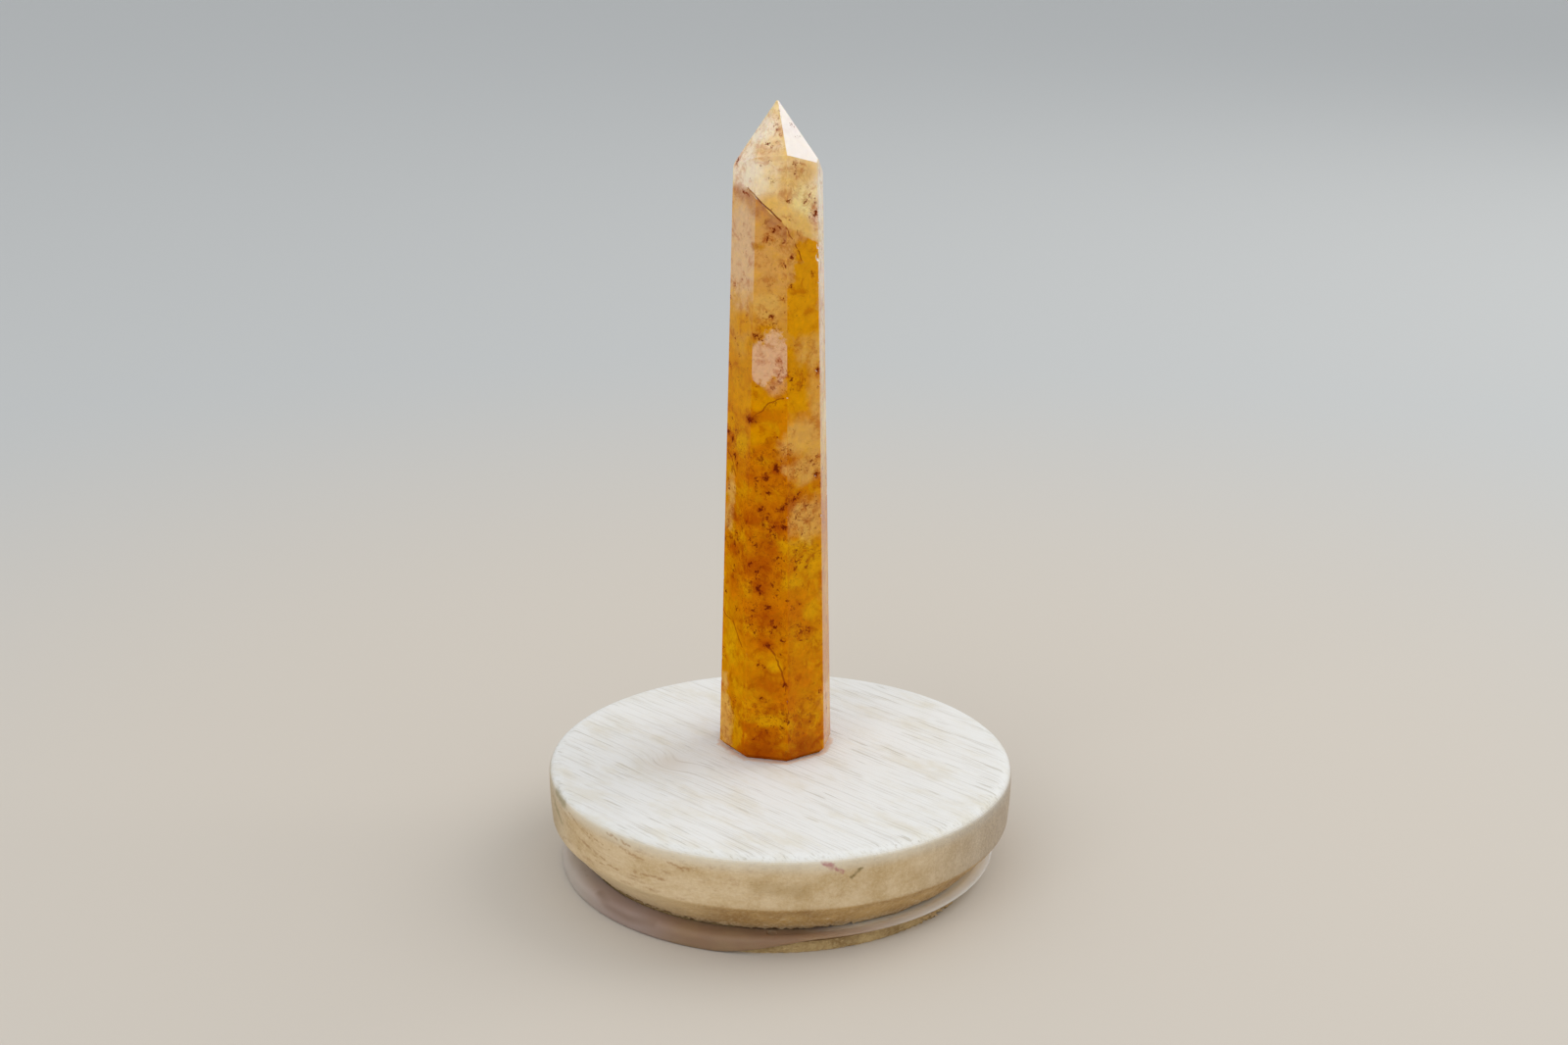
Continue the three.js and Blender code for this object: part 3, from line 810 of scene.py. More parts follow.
def makeQuartzBody():
    tree, given, wanted = newGroup(
        "quartz body",
        {"Surface": ("vector", (0, 0, 0)), "Shallow": ("vector", (0, 0, 0)),
         "Deep": ("vector", (0, 0, 0))},
        {"Colour": "colour"})
    colours, noises, clouds = quartzTones(), quartzNoises, quartzClouds
    height = newNode(tree, "SeparateXYZ", {0: given["Surface"]}).outputs["Z"]
    drift = noiseOf(tree, given["Deep"], **noises["drift"])
    share = maths(tree, "MULTIPLY_ADD", drift, clouds["driftBy"], -clouds["driftBy"] / 2)
    share = maths(tree, "DIVIDE", maths(tree, "ADD", height, share), stone["height"])
    body = colourRamp(tree, share, quartzColour["below"])
    lower = opposite(tree, rise(tree, height, *clouds["golden"]))

    # Clouds of lighter and darker gold at three depths
    cloud = rise(tree, noiseOf(tree, given["Deep"], **noises["deep"]), *clouds["deepEdge"])
    share = maths(tree, "MULTIPLY", lower, clouds["deep"])
    body = tinted(tree, cloud, share, body, colours["amber"])
    cloud = rise(tree, noiseOf(tree, given["Shallow"], **noises["shallow"]), *clouds["shallowEdge"])
    share = maths(tree, "MULTIPLY_ADD", lower, clouds["shallowMoreBelow"], clouds["shallow"])
    body = tinted(tree, cloud, share, body, colours["lemon"])
    shake = noiseOf(tree, given["Surface"], **noises["shake"])
    shake = maths(tree, "MULTIPLY_ADD", shake, clouds["shakeBy"], -clouds["shakeBy"] / 2)
    for layer in quartzLayers:
        mask = layerMask(tree, given["Shallow"], shake, layer)
        body = colourMix(tree, mask, body, colours[layer["colour"]])

    # The split, with a rosy stain below it on the front and the left
    shaken = wobbled(tree, given["Surface"], *quartzSplit["shake"])
    above, below = splitSides(tree, shaken)
    top = colourRamp(tree, maths(tree, "DIVIDE", height, stone["height"]), quartzColour["above"])
    warm = rise(tree, noiseOf(tree, given["Shallow"], **noises["point"]), *clouds["pointEdge"])
    top = tinted(tree, warm, clouds["point"], top, colours["pale"])
    for layer in upperLayers:
        mask = layerMask(tree, given["Shallow"], shake, layer)
        top = colourMix(tree, mask, top, colours[layer["colour"]])
    body = colourMix(tree, above, body, top)
    stain = opposite(tree, rise(tree, below, *quartzSplit["tint"]))
    stain = maths(tree, "MULTIPLY", stain, opposite(tree, above))
    left = facingWay(tree, quartzSplit["tintSide"], 0.86, 0.9)
    patchy = noiseOf(tree, given["Surface"], **noises["stain"])
    patchy = spreadNoise(tree, patchy, clouds["stainEdge"], clouds["stain"])
    stain = maths(tree, "MULTIPLY", stain, maths(tree, "MULTIPLY", left, patchy))
    body = colourMix(tree, stain, body, colours["rose"])

    # Cloudiness at two finer scales
    fine = noiseOf(tree, given["Shallow"], **noises["fine"])
    light = rise(tree, fine, *clouds["lightEdge"])
    body = tinted(tree, light, clouds["light"], body, colours["paleStrawAndGlare"], "SOFT_LIGHT")
    warm = opposite(tree, rise(tree, fine, *clouds["warmEdge"]))
    body = tinted(tree, warm, clouds["warm"], body, colours["amber"], "MULTIPLY")
    speckle = noiseOf(tree, given["Surface"], **noises["speckle"])
    speckle = spreadNoise(tree, speckle, clouds["speckleEdge"], clouds["speckle"])
    body = newNode(tree, "HueSaturation", {"Color": body, "Value": speckle}).outputs[0]
    give(tree, body, wanted["Colour"])
    return tree


# Crumbs lie in cells of their spacing in millimetres, and reach is a share of a cell. A pair of
# shares says how many cells hold one away from the clusters, and how many more inside them
quartzRust = {
    "shake": (0.5, 0.48), "clusterEdge": (0.55, 1.35), "clusterBy": 1.6,
    "cluster": {"size": 3.0, "detail": 4.0, "roughness": 0.6},
    "veil": {"size": 1.5, "detail": 6.0, "roughness": 0.72, "distortion": 0.4},
    "veilEdge": (0.47, 0.66),
    "thread": {"size": 3.1, "detail": 5.0, "roughness": 0.6, "distortion": 1.2},
    "threadWidth": 0.035, "threadPatches": 7.0, "threadPatchEdge": (0.5, 0.6),
    "crumbs": {"Spacing": 0.95, "Reach": 0.56}, "crumbShare": (0.02, 0.62),
    "dust": {"Spacing": 0.5, "Reach": 0.54}, "dustShare": (0.05, 0.55), "dustStrength": 0.8,
}


# Rust: thin stained threads, crumbs that gather in clusters, and dust
def makeQuartzRust():
    tree, given, wanted = newGroup(
        "quartz rust", {"Surface": ("vector", (0, 0, 0)), "Shallow": ("vector", (0, 0, 0))},
        {"Veil": "value", "Threads": "value", "Crumbs": "value"})
    look = quartzRust
    away = nearestPlace(tree, given["Shallow"], rustClusters)
    shake = noiseOf(tree, given["Shallow"], **look["cluster"])
    shake = maths(tree, "MULTIPLY_ADD", shake, look["clusterBy"], -look["clusterBy"] / 2)
    away = maths(tree, "ADD", away, shake)
    cluster = opposite(tree, rise(tree, away, *look["clusterEdge"]))
    veil = rise(tree, noiseOf(tree, given["Shallow"], **look["veil"]), *look["veilEdge"])
    give(tree, maths(tree, "MULTIPLY", veil, cluster), wanted["Veil"])
    thread = noiseOf(tree, given["Surface"], **look["thread"])
    thread = maths(tree, "ABSOLUTE", maths(tree, "SUBTRACT", thread, 0.5))
    thread = opposite(tree, rise(tree, thread, 0.0, look["threadWidth"]))
    held = noiseOf(tree, given["Surface"], look["threadPatches"])
    held = rise(tree, held, *look["threadPatchEdge"])
    give(tree, maths(tree, "MULTIPLY", thread, held), wanted["Threads"])
    ragged = wobbled(tree, given["Surface"], *look["shake"])
    masks = []
    for kind, shares in (("crumbs", look["crumbShare"]), ("dust", look["dustShare"])):
        share = maths(tree, "MULTIPLY_ADD", cluster, shares[1], shares[0])
        inputs = {"Vector": ragged, "Share": share, **look[kind]}
        masks.append(useGroup(tree, groups["flecks"], inputs)["Mask"])
    crumbs, dust = masks
    dust = maths(tree, "MULTIPLY", dust, look["dustStrength"])
    give(tree, maths(tree, "MAXIMUM", crumbs, dust), wanted["Crumbs"])
    return tree


# Depths are how far below the skin a cloud lies, and shares are how strongly a stain shows
quartzSkin = {
    "depths": (0.0, 1.2, 4.5),
    "windowGlare": 0.75, "veil": 0.75, "threads": 0.35, "crumbs": 0.9, "core": 0.6,
    "halo": 0.45, "spots": 0.85, "heart": 0.75, "veins": 0.75, "crack": 0.9,
    "coreEdge": (0.6, 1.0), "heartEdge": (0.55, 0.95),
    "smears": {"size": 3.0, "detail": 4.0, "roughness": 0.6},
    "roughness": (0.06, 0.2), "openRoughness": 0.6,
    "gleam": 0.18, "windowGleam": 0.32, "rightGleam": 0.5, "leftFades": (45.0, 90.0),
    "warmSheen": (30.0, 95.0),
    "bumpSize": 6.0, "bump": 0.3, "bumpDistance": 0.00004,
    "shader": {"IOR": 1.54, "Subsurface Weight": 0.3, "Subsurface Radius": (1.0, 0.5, 0.12),
               "Subsurface Scale": 0.0025},
}


def goldenQuartz():
    material, tree, shader = newMaterial("goldenQuartz")
    look, colours = quartzSkin, quartzTones()
    spot, shallow, deep = (insideView(tree, stone["axis"], depth) for depth in look["depths"])
    body = useGroup(tree, makeQuartzBody(), {"Surface": spot, "Shallow": shallow, "Deep": deep})
    # The facet that faces the window is painted near-white, a painted reflection of the window, and
    # its marks fade there as the reflection washes them out
    windowGlare = facingWay(tree, stone["windowFacet"])
    body = tinted(tree, windowGlare, look["windowGlare"], body["Colour"], colours["clear"])
    cloudy = opposite(tree, windowGlare)
    rust = useGroup(tree, makeQuartzRust(), {"Surface": spot, "Shallow": shallow})
    body = tinted(tree, rust["Veil"], look["veil"], body, colours["burnt"])
    threads = maths(tree, "MULTIPLY", rust["Threads"], cloudy)
    body = tinted(tree, threads, look["threads"], body, colours["ochre"])
    crumbs = maths(tree, "MULTIPLY", rust["Crumbs"], cloudy)
    body = tinted(tree, crumbs, look["crumbs"], body, colours["rust"])
    core = rise(tree, crumbs, *look["coreEdge"])
    body = tinted(tree, core, look["core"], body, colours["blood"])

    marks = useGroup(tree, makeQuartzMarks(), {"Vector": spot})
    halo = maths(tree, "MULTIPLY", marks["Halo"], cloudy)
    body = tinted(tree, halo, look["halo"], body, colours["burnt"])
    body = tinted(tree, marks["Spots"], look["spots"], body, colours["rust"])
    heart = rise(tree, marks["Spots"], *look["heartEdge"])
    body = tinted(tree, heart, look["heart"], body, colours["blood"])
    body = tinted(tree, marks["Veins"], look["veins"], body, colours["rust"])
    body = tinted(tree, marks["Crack"], look["crack"], body, colours["rust"])
    give(tree, body, shader.inputs["Base Color"])

    # Polished, but rough where it is open
    opened = maths(tree, "MAXIMUM", marks["Crack"], heart)
    gloss = spreadNoise(tree, noiseOf(tree, spot, **look["smears"]), (0, 1), look["roughness"])
    gloss = maths(tree, "MAXIMUM", gloss, maths(tree, "MULTIPLY", opened, look["openRoughness"]))
    give(tree, gloss, shader.inputs["Roughness"])

    # The facet that faces the window and the right side mirror the window. The low part of the
    # left side and what looks down hardly do
    gleam = maths(tree, "MULTIPLY_ADD", windowGlare, look["windowGleam"], look["gleam"])
    height = newNode(tree, "SeparateXYZ", {0: spot}).outputs["Z"]
    left = facingWay(tree, stone["leftFace"])
    left = maths(tree, "MULTIPLY", left, opposite(tree, rise(tree, height, *look["leftFades"])))
    below = facingWay(tree, (0, 0, -1), 0.3, 0.6)
    gleam = maths(tree, "MULTIPLY", gleam, opposite(tree, maths(tree, "MAXIMUM", left, below)))
    right = facingWay(tree, stone["rightFace"])
    gleam = maths(tree, "MAXIMUM", gleam, maths(tree, "MULTIPLY", right, look["rightGleam"]))
    dull = maths(tree, "MAXIMUM", marks["Spots"], marks["Crack"])
    gleam = maths(tree, "MULTIPLY", gleam, opposite(tree, dull))
    give(tree, gleam, shader.inputs["Specular IOR Level"])
    white = (1, 1, 1, 1)
    sheen = colourMix(tree, rise(tree, height, *look["warmSheen"]), tone(stone["warmSheen"]), white)
    sheen = colourMix(tree, right, tone(stone["goldSheen"]), sheen)
    give(tree, colourMix(tree, windowGlare, sheen, white), shader.inputs["Specular Tint"])
    giveBump(tree, shader, noiseOf(tree, spot, look["bumpSize"]), look)
    setShader(shader, look["shader"])
    return material


def dress(piece, material, slot, *nodes):
    piece.data.materials.clear()
    piece.data.materials.append(material)
    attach(piece, "root")
    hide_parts(*nodes)


dress(stonePiece, goldenQuartz(), "quartz", stone["node"])
print("stone dressed")


# A turned piece: a profile of radius and height that starts and ends on the axis.
# Roughen moves each point of it a little: (bearing, radius, height) gives (radius, height)
def turned(name, profile, centre, segments, roughen=None):
    bm = bmesh.new()
    rings = []
    for radius, height in profile[1:-1]:
        ring = []
        for i in range(segments):
            bearing = 360 * i / segments
            r, z = roughen(bearing, radius, height) if roughen else (radius, height)
            ring.append(bm.verts.new(centre + towards(bearing) * r + Vector((0, 0, z))))
        rings.append(ring)
    for lower, upper in zip(rings, rings[1:]):
        for i in range(segments):
            j = (i + 1) % segments
            bm.faces.new((lower[i], lower[j], upper[j], upper[i]))
    bm.faces.new(list(reversed(rings[0])))
    bm.faces.new(rings[-1])
    return storeMesh(name, bm)


def stepped(start, end, steps):
    return [(start[0] + (end[0] - start[0]) * i / steps, start[1] + (end[1] - start[1]) * i / steps)
            for i in range(1, steps + 1)]


def curved(start, pull, end, steps):
    points = []
    for i in range(1, steps + 1):
        t = i / steps
        weights = ((1 - t) ** 2, 2 * t * (1 - t), t * t)
        points.append(tuple(sum(w * p[k] for w, p in zip(weights, (start, pull, end)))
                            for k in range(2)))
    return points


disc = {
    "underside": boxes["lid_disc"][0].z,
    "top": boxes["lid_disc"][1].z,
    "radius": boxes["lid_disc"][1].x,
    "undersideRadius": 34.4,
    "edgeRadius": 39.5,
    "edgeHeight": 9.0,
    "softened": 0.5,
    "roundReach": 2.4,
    "roundDrop": 1.3,
    "segments": 384,
    "smoothUpTo": 40,
    "steps": {"chamfer": 14, "edge": 4, "wall": 10, "rounding": 8},
    "fuzz": 0.3, "fuzzScales": (1.1, 2.9), "fineFuzz": 0.5, "fuzzBelow": (-1.0, 0.2),
    "ragged": 0.9, "raggedScale": 1.4, "raggedBelow": 1.0,
    "torn": (-64.0, -30.0), "tornDepth": 1.1, "tornScale": 1.9, "tornBelow": (0.4, 2.2),
}


def discProfile():
    d, steps = disc, disc["steps"]
    wallTop = d["top"] - d["roundDrop"]
    lowEdge = (d["edgeRadius"] - d["softened"], d["edgeHeight"] - d["softened"])
    edge = (d["edgeRadius"], d["edgeHeight"])
    highEdge = (d["edgeRadius"] + d["softened"] / 4, d["edgeHeight"] + d["softened"])
    middle = (d["radius"], (d["edgeHeight"] + wallTop) / 2)
    points = [(0, d["underside"]), (d["undersideRadius"], d["underside"])]
    points += stepped(points[-1], lowEdge, steps["chamfer"])
    points += curved(lowEdge, edge, highEdge, steps["edge"])
    points += curved(highEdge, middle, (d["radius"], wallTop), steps["wall"])
    for i in range(1, steps["rounding"] + 1):
        turn = math.radians(90 * i / steps["rounding"])
        reach = d["radius"] - d["roundReach"] * (1 - math.cos(turn))
        points.append((reach, wallTop + d["roundDrop"] * math.sin(turn)))
    return points + [(0, d["top"])]


# 1 in the middle of a stretch of bearings, 0 at its ends
def midway(bearing, first, last):
    middle, reach = (first + last) / 2, (last - first) / 2
    return max(0.0, 1 - abs(bearing - middle) / reach)


# The chamfer was cut across the fibres, so it is fuzzy, and torn in one place
def roughenDisc(bearing, radius, height):
    d = disc
    start, end = d["fuzzBelow"]
    low = 1 - easeBetween(d["edgeHeight"] + start, d["edgeHeight"] + end, height)
    if low == 0:
        return radius, height
    place = towards(bearing) * radius + Vector((0, 0, height))
    coarse, fine = d["fuzzScales"]
    fuzz = abs(noise.noise(place * coarse)) + d["fineFuzz"] * abs(noise.noise(place * fine))
    ragged = d["ragged"] * abs(noise.noise(place * d["raggedScale"]))
    ragged *= radius > d["undersideRadius"] - 0.1
    ragged *= 1 - easeBetween(d["underside"], d["underside"] + d["raggedBelow"], height)
    turn = bearing - 360 if bearing > 180 else bearing
    start, end = d["tornBelow"]
    torn = midway(turn, *d["torn"])
    torn *= 1 - easeBetween(d["underside"] + start, d["underside"] + end, height)
    torn *= abs(noise.noise(place * d["tornScale"]))
    return radius - d["fuzz"] * fuzz * low - d["tornDepth"] * torn, height + ragged


# What both woods share: where things start and are full in millimetres, and how strongly they show
timberLook = {
    "knotReach": 4.0, "knotPull": 2.6, "knot": 0.35,
    "bend": {"size": 16.0, "detail": 1.0}, "bendStretch": (0.3, 1, 1), "bendBy": 1.6,
    "mottleEdge": (0.34, 0.68),
    "streaksAlong": (2.0, -22.0), "streaksLeast": 0.3,
    "rimBand": (3.6, 0.6), "rim": 0.68, "ends": 0.7,
    "frayedUnder": (5.6, 3.4), "paintedLightLeft": (-4.0, -26.0), "frayedAndLitLeft": 0.65,
    "frayedEdge": (0.3, 0.6), "topEdge": (0.45, 0.8), "fuzzEdge": (0.35, 0.75),
    "topStreaks": 0.3, "topLines": 0.45, "fuzz": 0.34, "fuzzLessOnTop": 0.3,
    "markShake": (1.3, 0.35), "markEdge": (1.0, 0.1),
    "roughness": (0.5, 0.72), "bump": 0.6, "bumpDistance": 0.00014, "lineDepth": 0.5,
    "shader": {"Specular IOR Level": 0.3},
}


# Marks are (colour, strength, strokes), and a stroke is (points, half width)
def woodPiece(name, look, marks):
    material, tree, shader = newMaterial(name)
    shared = timberLook
    colours = {key: tone(text) for key, text in look["colours"].items()}
    spot = insideView(tree)
    nearKnot = vectors(tree, "DISTANCE", spot, look["knot"], output="Value")
    nearKnot = maths(tree, "DIVIDE", nearKnot, shared["knotReach"])
    pull = maths(tree, "MULTIPLY", maths(tree, "MULTIPLY", nearKnot, nearKnot), -1.0)
    pull = maths(tree, "EXPONENT", pull)
    board = newNode(tree, "VectorRotate", {"Vector": spot, "Angle": math.radians(look["grainTurn"])},
                    rotation_type="Z_AXIS").outputs[0]
    shift = maths(tree, "MULTIPLY", pull, shared["knotPull"])
    shift = newNode(tree, "CombineXYZ", {1: shift}).outputs[0]
    board = vectors(tree, "ADD", board, shift)
    bend = vectors(tree, "MULTIPLY", board, shared["bendStretch"])
    bend = noiseOf(tree, bend, **shared["bend"], output="Color")
    bend = scaled(tree, vectors(tree, "SUBTRACT", bend, (0.5, 0.5, 0.5)), shared["bendBy"])
    board = vectors(tree, "ADD", board, bend)
    timber = useGroup(tree, groups["timber"], {"Vector": board})
    upward = facingWay(tree, (0, 0, 1), 0.3, 0.95)
    downward = facingWay(tree, (0, 0, -1), 0.2, 0.6)

    # The wall, with streaks, a pale rim and ends of another colour. The disc's right end is painted
    # greyer and the plug's front darker, as painted shade
    mottle = rise(tree, timber["Mottle"], *shared["mottleEdge"])
    wall = colourMix(tree, mottle, colours["wall"], colours["wallDark"])
    place = newNode(tree, "SeparateXYZ", {0: spot}).outputs
    along = rise(tree, place["X"], *shared["streaksAlong"])
    streaks = maths(tree, "MULTIPLY", timber["Streaks"], look["streaks"])
    least = shared["streaksLeast"]
    streaks = maths(tree, "MULTIPLY", streaks, maths(tree, "MULTIPLY_ADD", along, 1 - least, least))
    wall = colourMix(tree, streaks, wall, colours["streak"])
    rimStart, rimFull = (disc["top"] - drop for drop in shared["rimBand"])
    rim = rise(tree, place["Z"], rimStart, rimFull)
    wall = tinted(tree, rim, shared["rim"], wall, colours["topWarm"])
    for shade, start, full in look["ends"]:
        end = rise(tree, place["X"], start, full)
        wall = tinted(tree, end, shared["ends"], wall, colours[shade])

    # The chamfer below it, frayed, and painted paler towards the left as painted light over its shade;
    # and the top
    under = colourMix(tree, mottle, colours["under"], colours["underDark"])
    frayedAndLitLeft = rise(tree, place["Z"], *shared["frayedUnder"])
    frayedAndLitLeft = maths(tree, "MULTIPLY", frayedAndLitLeft, rise(tree, timber["Fuzz"], *shared["frayedEdge"]))
    frayedAndLitLeft = maths(tree, "MAXIMUM", frayedAndLitLeft, rise(tree, place["X"], *shared["paintedLightLeft"]))
    under = tinted(tree, frayedAndLitLeft, shared["frayedAndLitLeft"], under, colours["fuzz"])
    warm = rise(tree, timber["Mottle"], *shared["topEdge"])
    top = colourMix(tree, warm, colours["top"], colours["topWarm"])
    top = tinted(tree, timber["Streaks"], shared["topStreaks"], top, colours["topWarm"])
    top = tinted(tree, timber["Lines"], shared["topLines"], top, colours["line"])
    # The top is mixed paler than the wall: partly a sanded face, partly painted light, as it faces the
    # lamps
    base = colourMix(tree, upward, wall, top)
    base = colourMix(tree, downward, base, under)
    fuzz = rise(tree, timber["Fuzz"], *shared["fuzzEdge"])
    share = maths(tree, "MULTIPLY", upward, shared["fuzzLessOnTop"])
    share = maths(tree, "SUBTRACT", shared["fuzz"], share)
    base = tinted(tree, fuzz, share, base, colours["fuzz"])
    base = tinted(tree, pull, shared["knot"], base, colours["knot"])

    waved = wobbled(tree, spot, *shared["markShake"])
    for colour, strength, strokes in marks:
        nearest = 1.0
        for points, width in strokes:
            nearest = nearestLine(tree, nearest, waved, points, width)
        mark = rise(tree, nearest, *shared["markEdge"])
        base = tinted(tree, mark, strength, base, tone(colour))
    give(tree, base, shader.inputs["Base Color"])
    dull = spreadNoise(tree, timber["Fibre"], (0, 1), shared["roughness"])
    give(tree, dull, shader.inputs["Roughness"])
    lines = maths(tree, "MULTIPLY", timber["Lines"], shared["lineDepth"])
    relief = maths(tree, "SUBTRACT", timber["Fibre"], lines)
    relief = maths(tree, "ADD", relief, maths(tree, "MULTIPLY", timber["Fuzz"], look["fuzz"]))
    giveBump(tree, shader, relief, shared)
    setShader(shader, shared["shader"])
    return material


# Marks on the disc's wall are strokes from one bearing and height to another, and a half width
discLook = {
    "grainTurn": 45.0,
    "knot": (-19.3, -4.0, disc["top"]),
    "streaks": 0.7,
    "fuzz": 0.8,
    # The right end is painted greyer: painted shade
    "ends": [("paintedShadeEnd", 18.0, 39.0), ("dullEnd", -33.0, -40.0)],
    "colours": {
        "top": "#e9e8e3", "topWarm": "#dfd9c9", "line": "#aba28e",
        "wall": "#d8bf98", "wallDark": "#c0a273", "streak": "#9c7040", "fuzz": "#e6d3ad",
        "paintedShadeEnd": "#968c85", "dullEnd": "#a29176",
        "under": "#c29c5f", "underDark": "#a07840", "knot": "#cfb898",
    },
    "marks": [
        ("#a85c66", 0.7, [((9.9, 17.6), (12.1, 16.7), 0.6), ((12.1, 16.7), (14.4, 15.6), 0.4)]),
        ("#75622e", 0.8, [((16.1, 14.5), (18.9, 15.8), 0.5)]),
        ("#a88a58", 0.45, [((-5, 13.6), (5, 12.6), 2.2)]),
        ("#85784e", 0.6, [((-70.5, 17.6), (-63.5, 17.2), 1.1), ((-72, 15), (-66, 13), 0.8)]),
        ("#9c7040", 0.55, [
            ((-62, 16.8), (-50, 14.6), 0.3), ((-58, 13.6), (-45, 12.2), 0.32),
            ((-54, 15.8), (-42, 14.2), 0.24), ((-50, 11.0), (-40, 11.6), 0.3),
            ((-40, 15.8), (-33, 14.8), 0.4), ((-36, 12.2), (-28, 12.6), 0.34),
            ((-44, 17.3), (-37, 16.6), 0.3), ((-26, 15.6), (-21, 15.2), 0.3)]),
    ],
    "footGlow": {"colour": "#e0a870", "strength": 0.55, "width": 0.8},
}


def onWall(bearing, height):
    return towards(bearing) * disc["radius"] + Vector((0, 0, height))


# The marks on the wall, and the golden light that the stone's foot throws on the wood round it
def discMarks():
    marks = []
    for colour, strength, strokes in discLook["marks"]:
        strokes = [((onWall(*start), onWall(*end)), width) for start, end, width in strokes]
        marks.append((colour, strength, strokes))
    glow = discLook["footGlow"]
    foot = [Vector((*corner[0].xy, disc["top"])) for corner in stoneCorners()]
    marks.append((glow["colour"], glow["strength"], [(foot + foot[:1], glow["width"])]))
    return marks


discPiece = turned("turnedDisc", discProfile(), Vector((0, 0, 0)), disc["segments"], roughenDisc)
shadeByAngle(discPiece, disc["smoothUpTo"])
dress(discPiece, woodPiece("paleTimber", discLook, discMarks()), "wood", "lid_disc")
print("disc made")


plug = {
    "centre": Vector((-1.45, -1.55, 0)),
    "top": boxes["lid_plug"][1].z,
    "radius": 35.0,
    "neckRadius": 32.0,
    "flange": 1.9,
    "bevel": 0.25,
    "segments": 480,
    "smoothUpTo": 35,
    "rimSteps": 7,
    "fuzz": 0.24, "fuzzScales": (1.3, 3.1),
    "splinters": (40.0, 66.0), "splinterDepth": 1.3, "splinterScale": 2.1, "splinterTaper": 0.6,
}


def plugProfile():
    p = plug
    points = [(0, 0), (p["radius"] - p["bevel"], 0), (p["radius"], p["bevel"])]
    points += stepped(points[-1], (p["radius"], p["flange"]), p["rimSteps"])
    points += [(p["neckRadius"], p["flange"]), (p["neckRadius"], p["top"])]
    return points + [(0, p["top"])]


# The rim is fuzzy, with splinters broken out of it in one place
def roughenPlug(bearing, radius, height):
    p = plug
    if radius < p["radius"] - p["bevel"] - 0.01:
        return radius, height
    place = towards(bearing) * radius + Vector((0, 0, height))
    bite = p["fuzz"] * sum(abs(noise.noise(place * scale)) for scale in p["fuzzScales"])
    broken = midway(bearing, *p["splinters"]) ** 0.5
    broken *= 1 - p["splinterTaper"] * height / p["flange"]
    bite += p["splinterDepth"] * broken * noise.noise(place * p["splinterScale"])
    return radius - bite, height


plugLook = {
    "grainTurn": 20.0,
    "knot": (0, 0, -60),
    "streaks": 0.3,
    "fuzz": 1.4,
    # The front is painted darker: painted shadow where the rim meets the table
    "ends": [("shade", 14.0, -4.0)],
    "colours": {
        "top": "#c9a878", "topWarm": "#c0a070", "line": "#8f6c3e",
        "wall": "#b99c6a", "wallDark": "#8a6c40", "streak": "#8a6a3c", "fuzz": "#ddc692",
        "under": "#b8935f", "underDark": "#a07c4a", "knot": "#b08a58", "shade": "#86693c",
    },
}
plugPiece = turned("gluedPlug", plugProfile(), plug["centre"], plug["segments"], roughenPlug)
shadeByAngle(plugPiece, plug["smoothUpTo"])
dress(plugPiece, woodPiece("plugTimber", plugLook, []), "plug_wood", "lid_plug")
print("plug made")


# Sections of the seal as share of the way out and height, as the frame's solid has them
seal = {
    "centre": Vector((-0.5, 0.3, 0)),
    "radius": 37.7,
    "root": plug["neckRadius"] + 0.3,
    "clear": 0.15,
    "lowest": 0.08,
    "standing": [
        (0, 1.9), (0.4, 1.9), (0.6, 2.35), (0.82, 2.6), (0.95, 2.75), (1, 2.95),
        (0.98, 3.15), (0.92, 3.32), (0.82, 3.42), (0.7, 3.38), (0.5, 3.1), (0, 3.1)],
    "hanging": [
        (0, 1.9), (0.4, 1.9), (0.56, 0.3), (0.78, 0.1), (0.94, 0.1), (1, 0.6),
        (1, 1.35), (0.97, 2.05), (0.9, 2.55), (0.76, 2.9), (0.5, 3.1), (0, 3.1)],
    "fold": (13.0, -17.0, -128.0, -150.0),  # bearings: it starts, is full, starts to end, has ended
    "segments": 300,
    "smoothUpTo": 40,
    "smoothSteps": 4,
    # The dirt colour also paints the shade in the fold
    "colours": {
        "front": "#8e7158", "brown": "#957a5c", "mauve": "#9b867c", "pale": "#c0b9b0",
        "dusty": "#ada297", "dirt": "#6e563e", "lit": "#e4d9c8",
    },
    # Points of a painted shade line along the fold
    "paintedCreaseShade": [(-30.0, -21.6, 2.9), (-28.2, -25.0, 2.2), (-24.6, -28.6, 2.0), (-20.4, -31.2, 2.4)],
    "nick": {"bearing": -2.0, "reach": 35.3, "height": 3.5, "radii": (1.0, 1.0, 0.75),
             "ripple": 0.2, "seed": 3},
}


# Rounds a section with a curve through its points. The root's corners stay as they are
def smoothSection(points, steps):
    made = []
    count = len(points)
    for i in range(count):
        a, b, c, d = (points[(i + k) % count] for k in (-1, 0, 1, 2))
        made.append(b)
        if i in (0, count - 1, count - 2):
            continue
        for step in range(1, steps):
            t = step / steps
            made.append(tuple(
                0.5 * (2 * b[k] + (c[k] - a[k]) * t + (2 * a[k] - 5 * b[k] + 4 * c[k] - d[k]) * t * t
                       + (3 * b[k] - a[k] - 3 * c[k] + d[k]) * t ** 3) for k in range(2)))
    return made


def foldShare(bearing):
    start, full, unfoldStart, unfoldFull = seal["fold"]
    return easeBetween(-start, -full, -bearing) - easeBetween(-unfoldStart, -unfoldFull, -bearing)


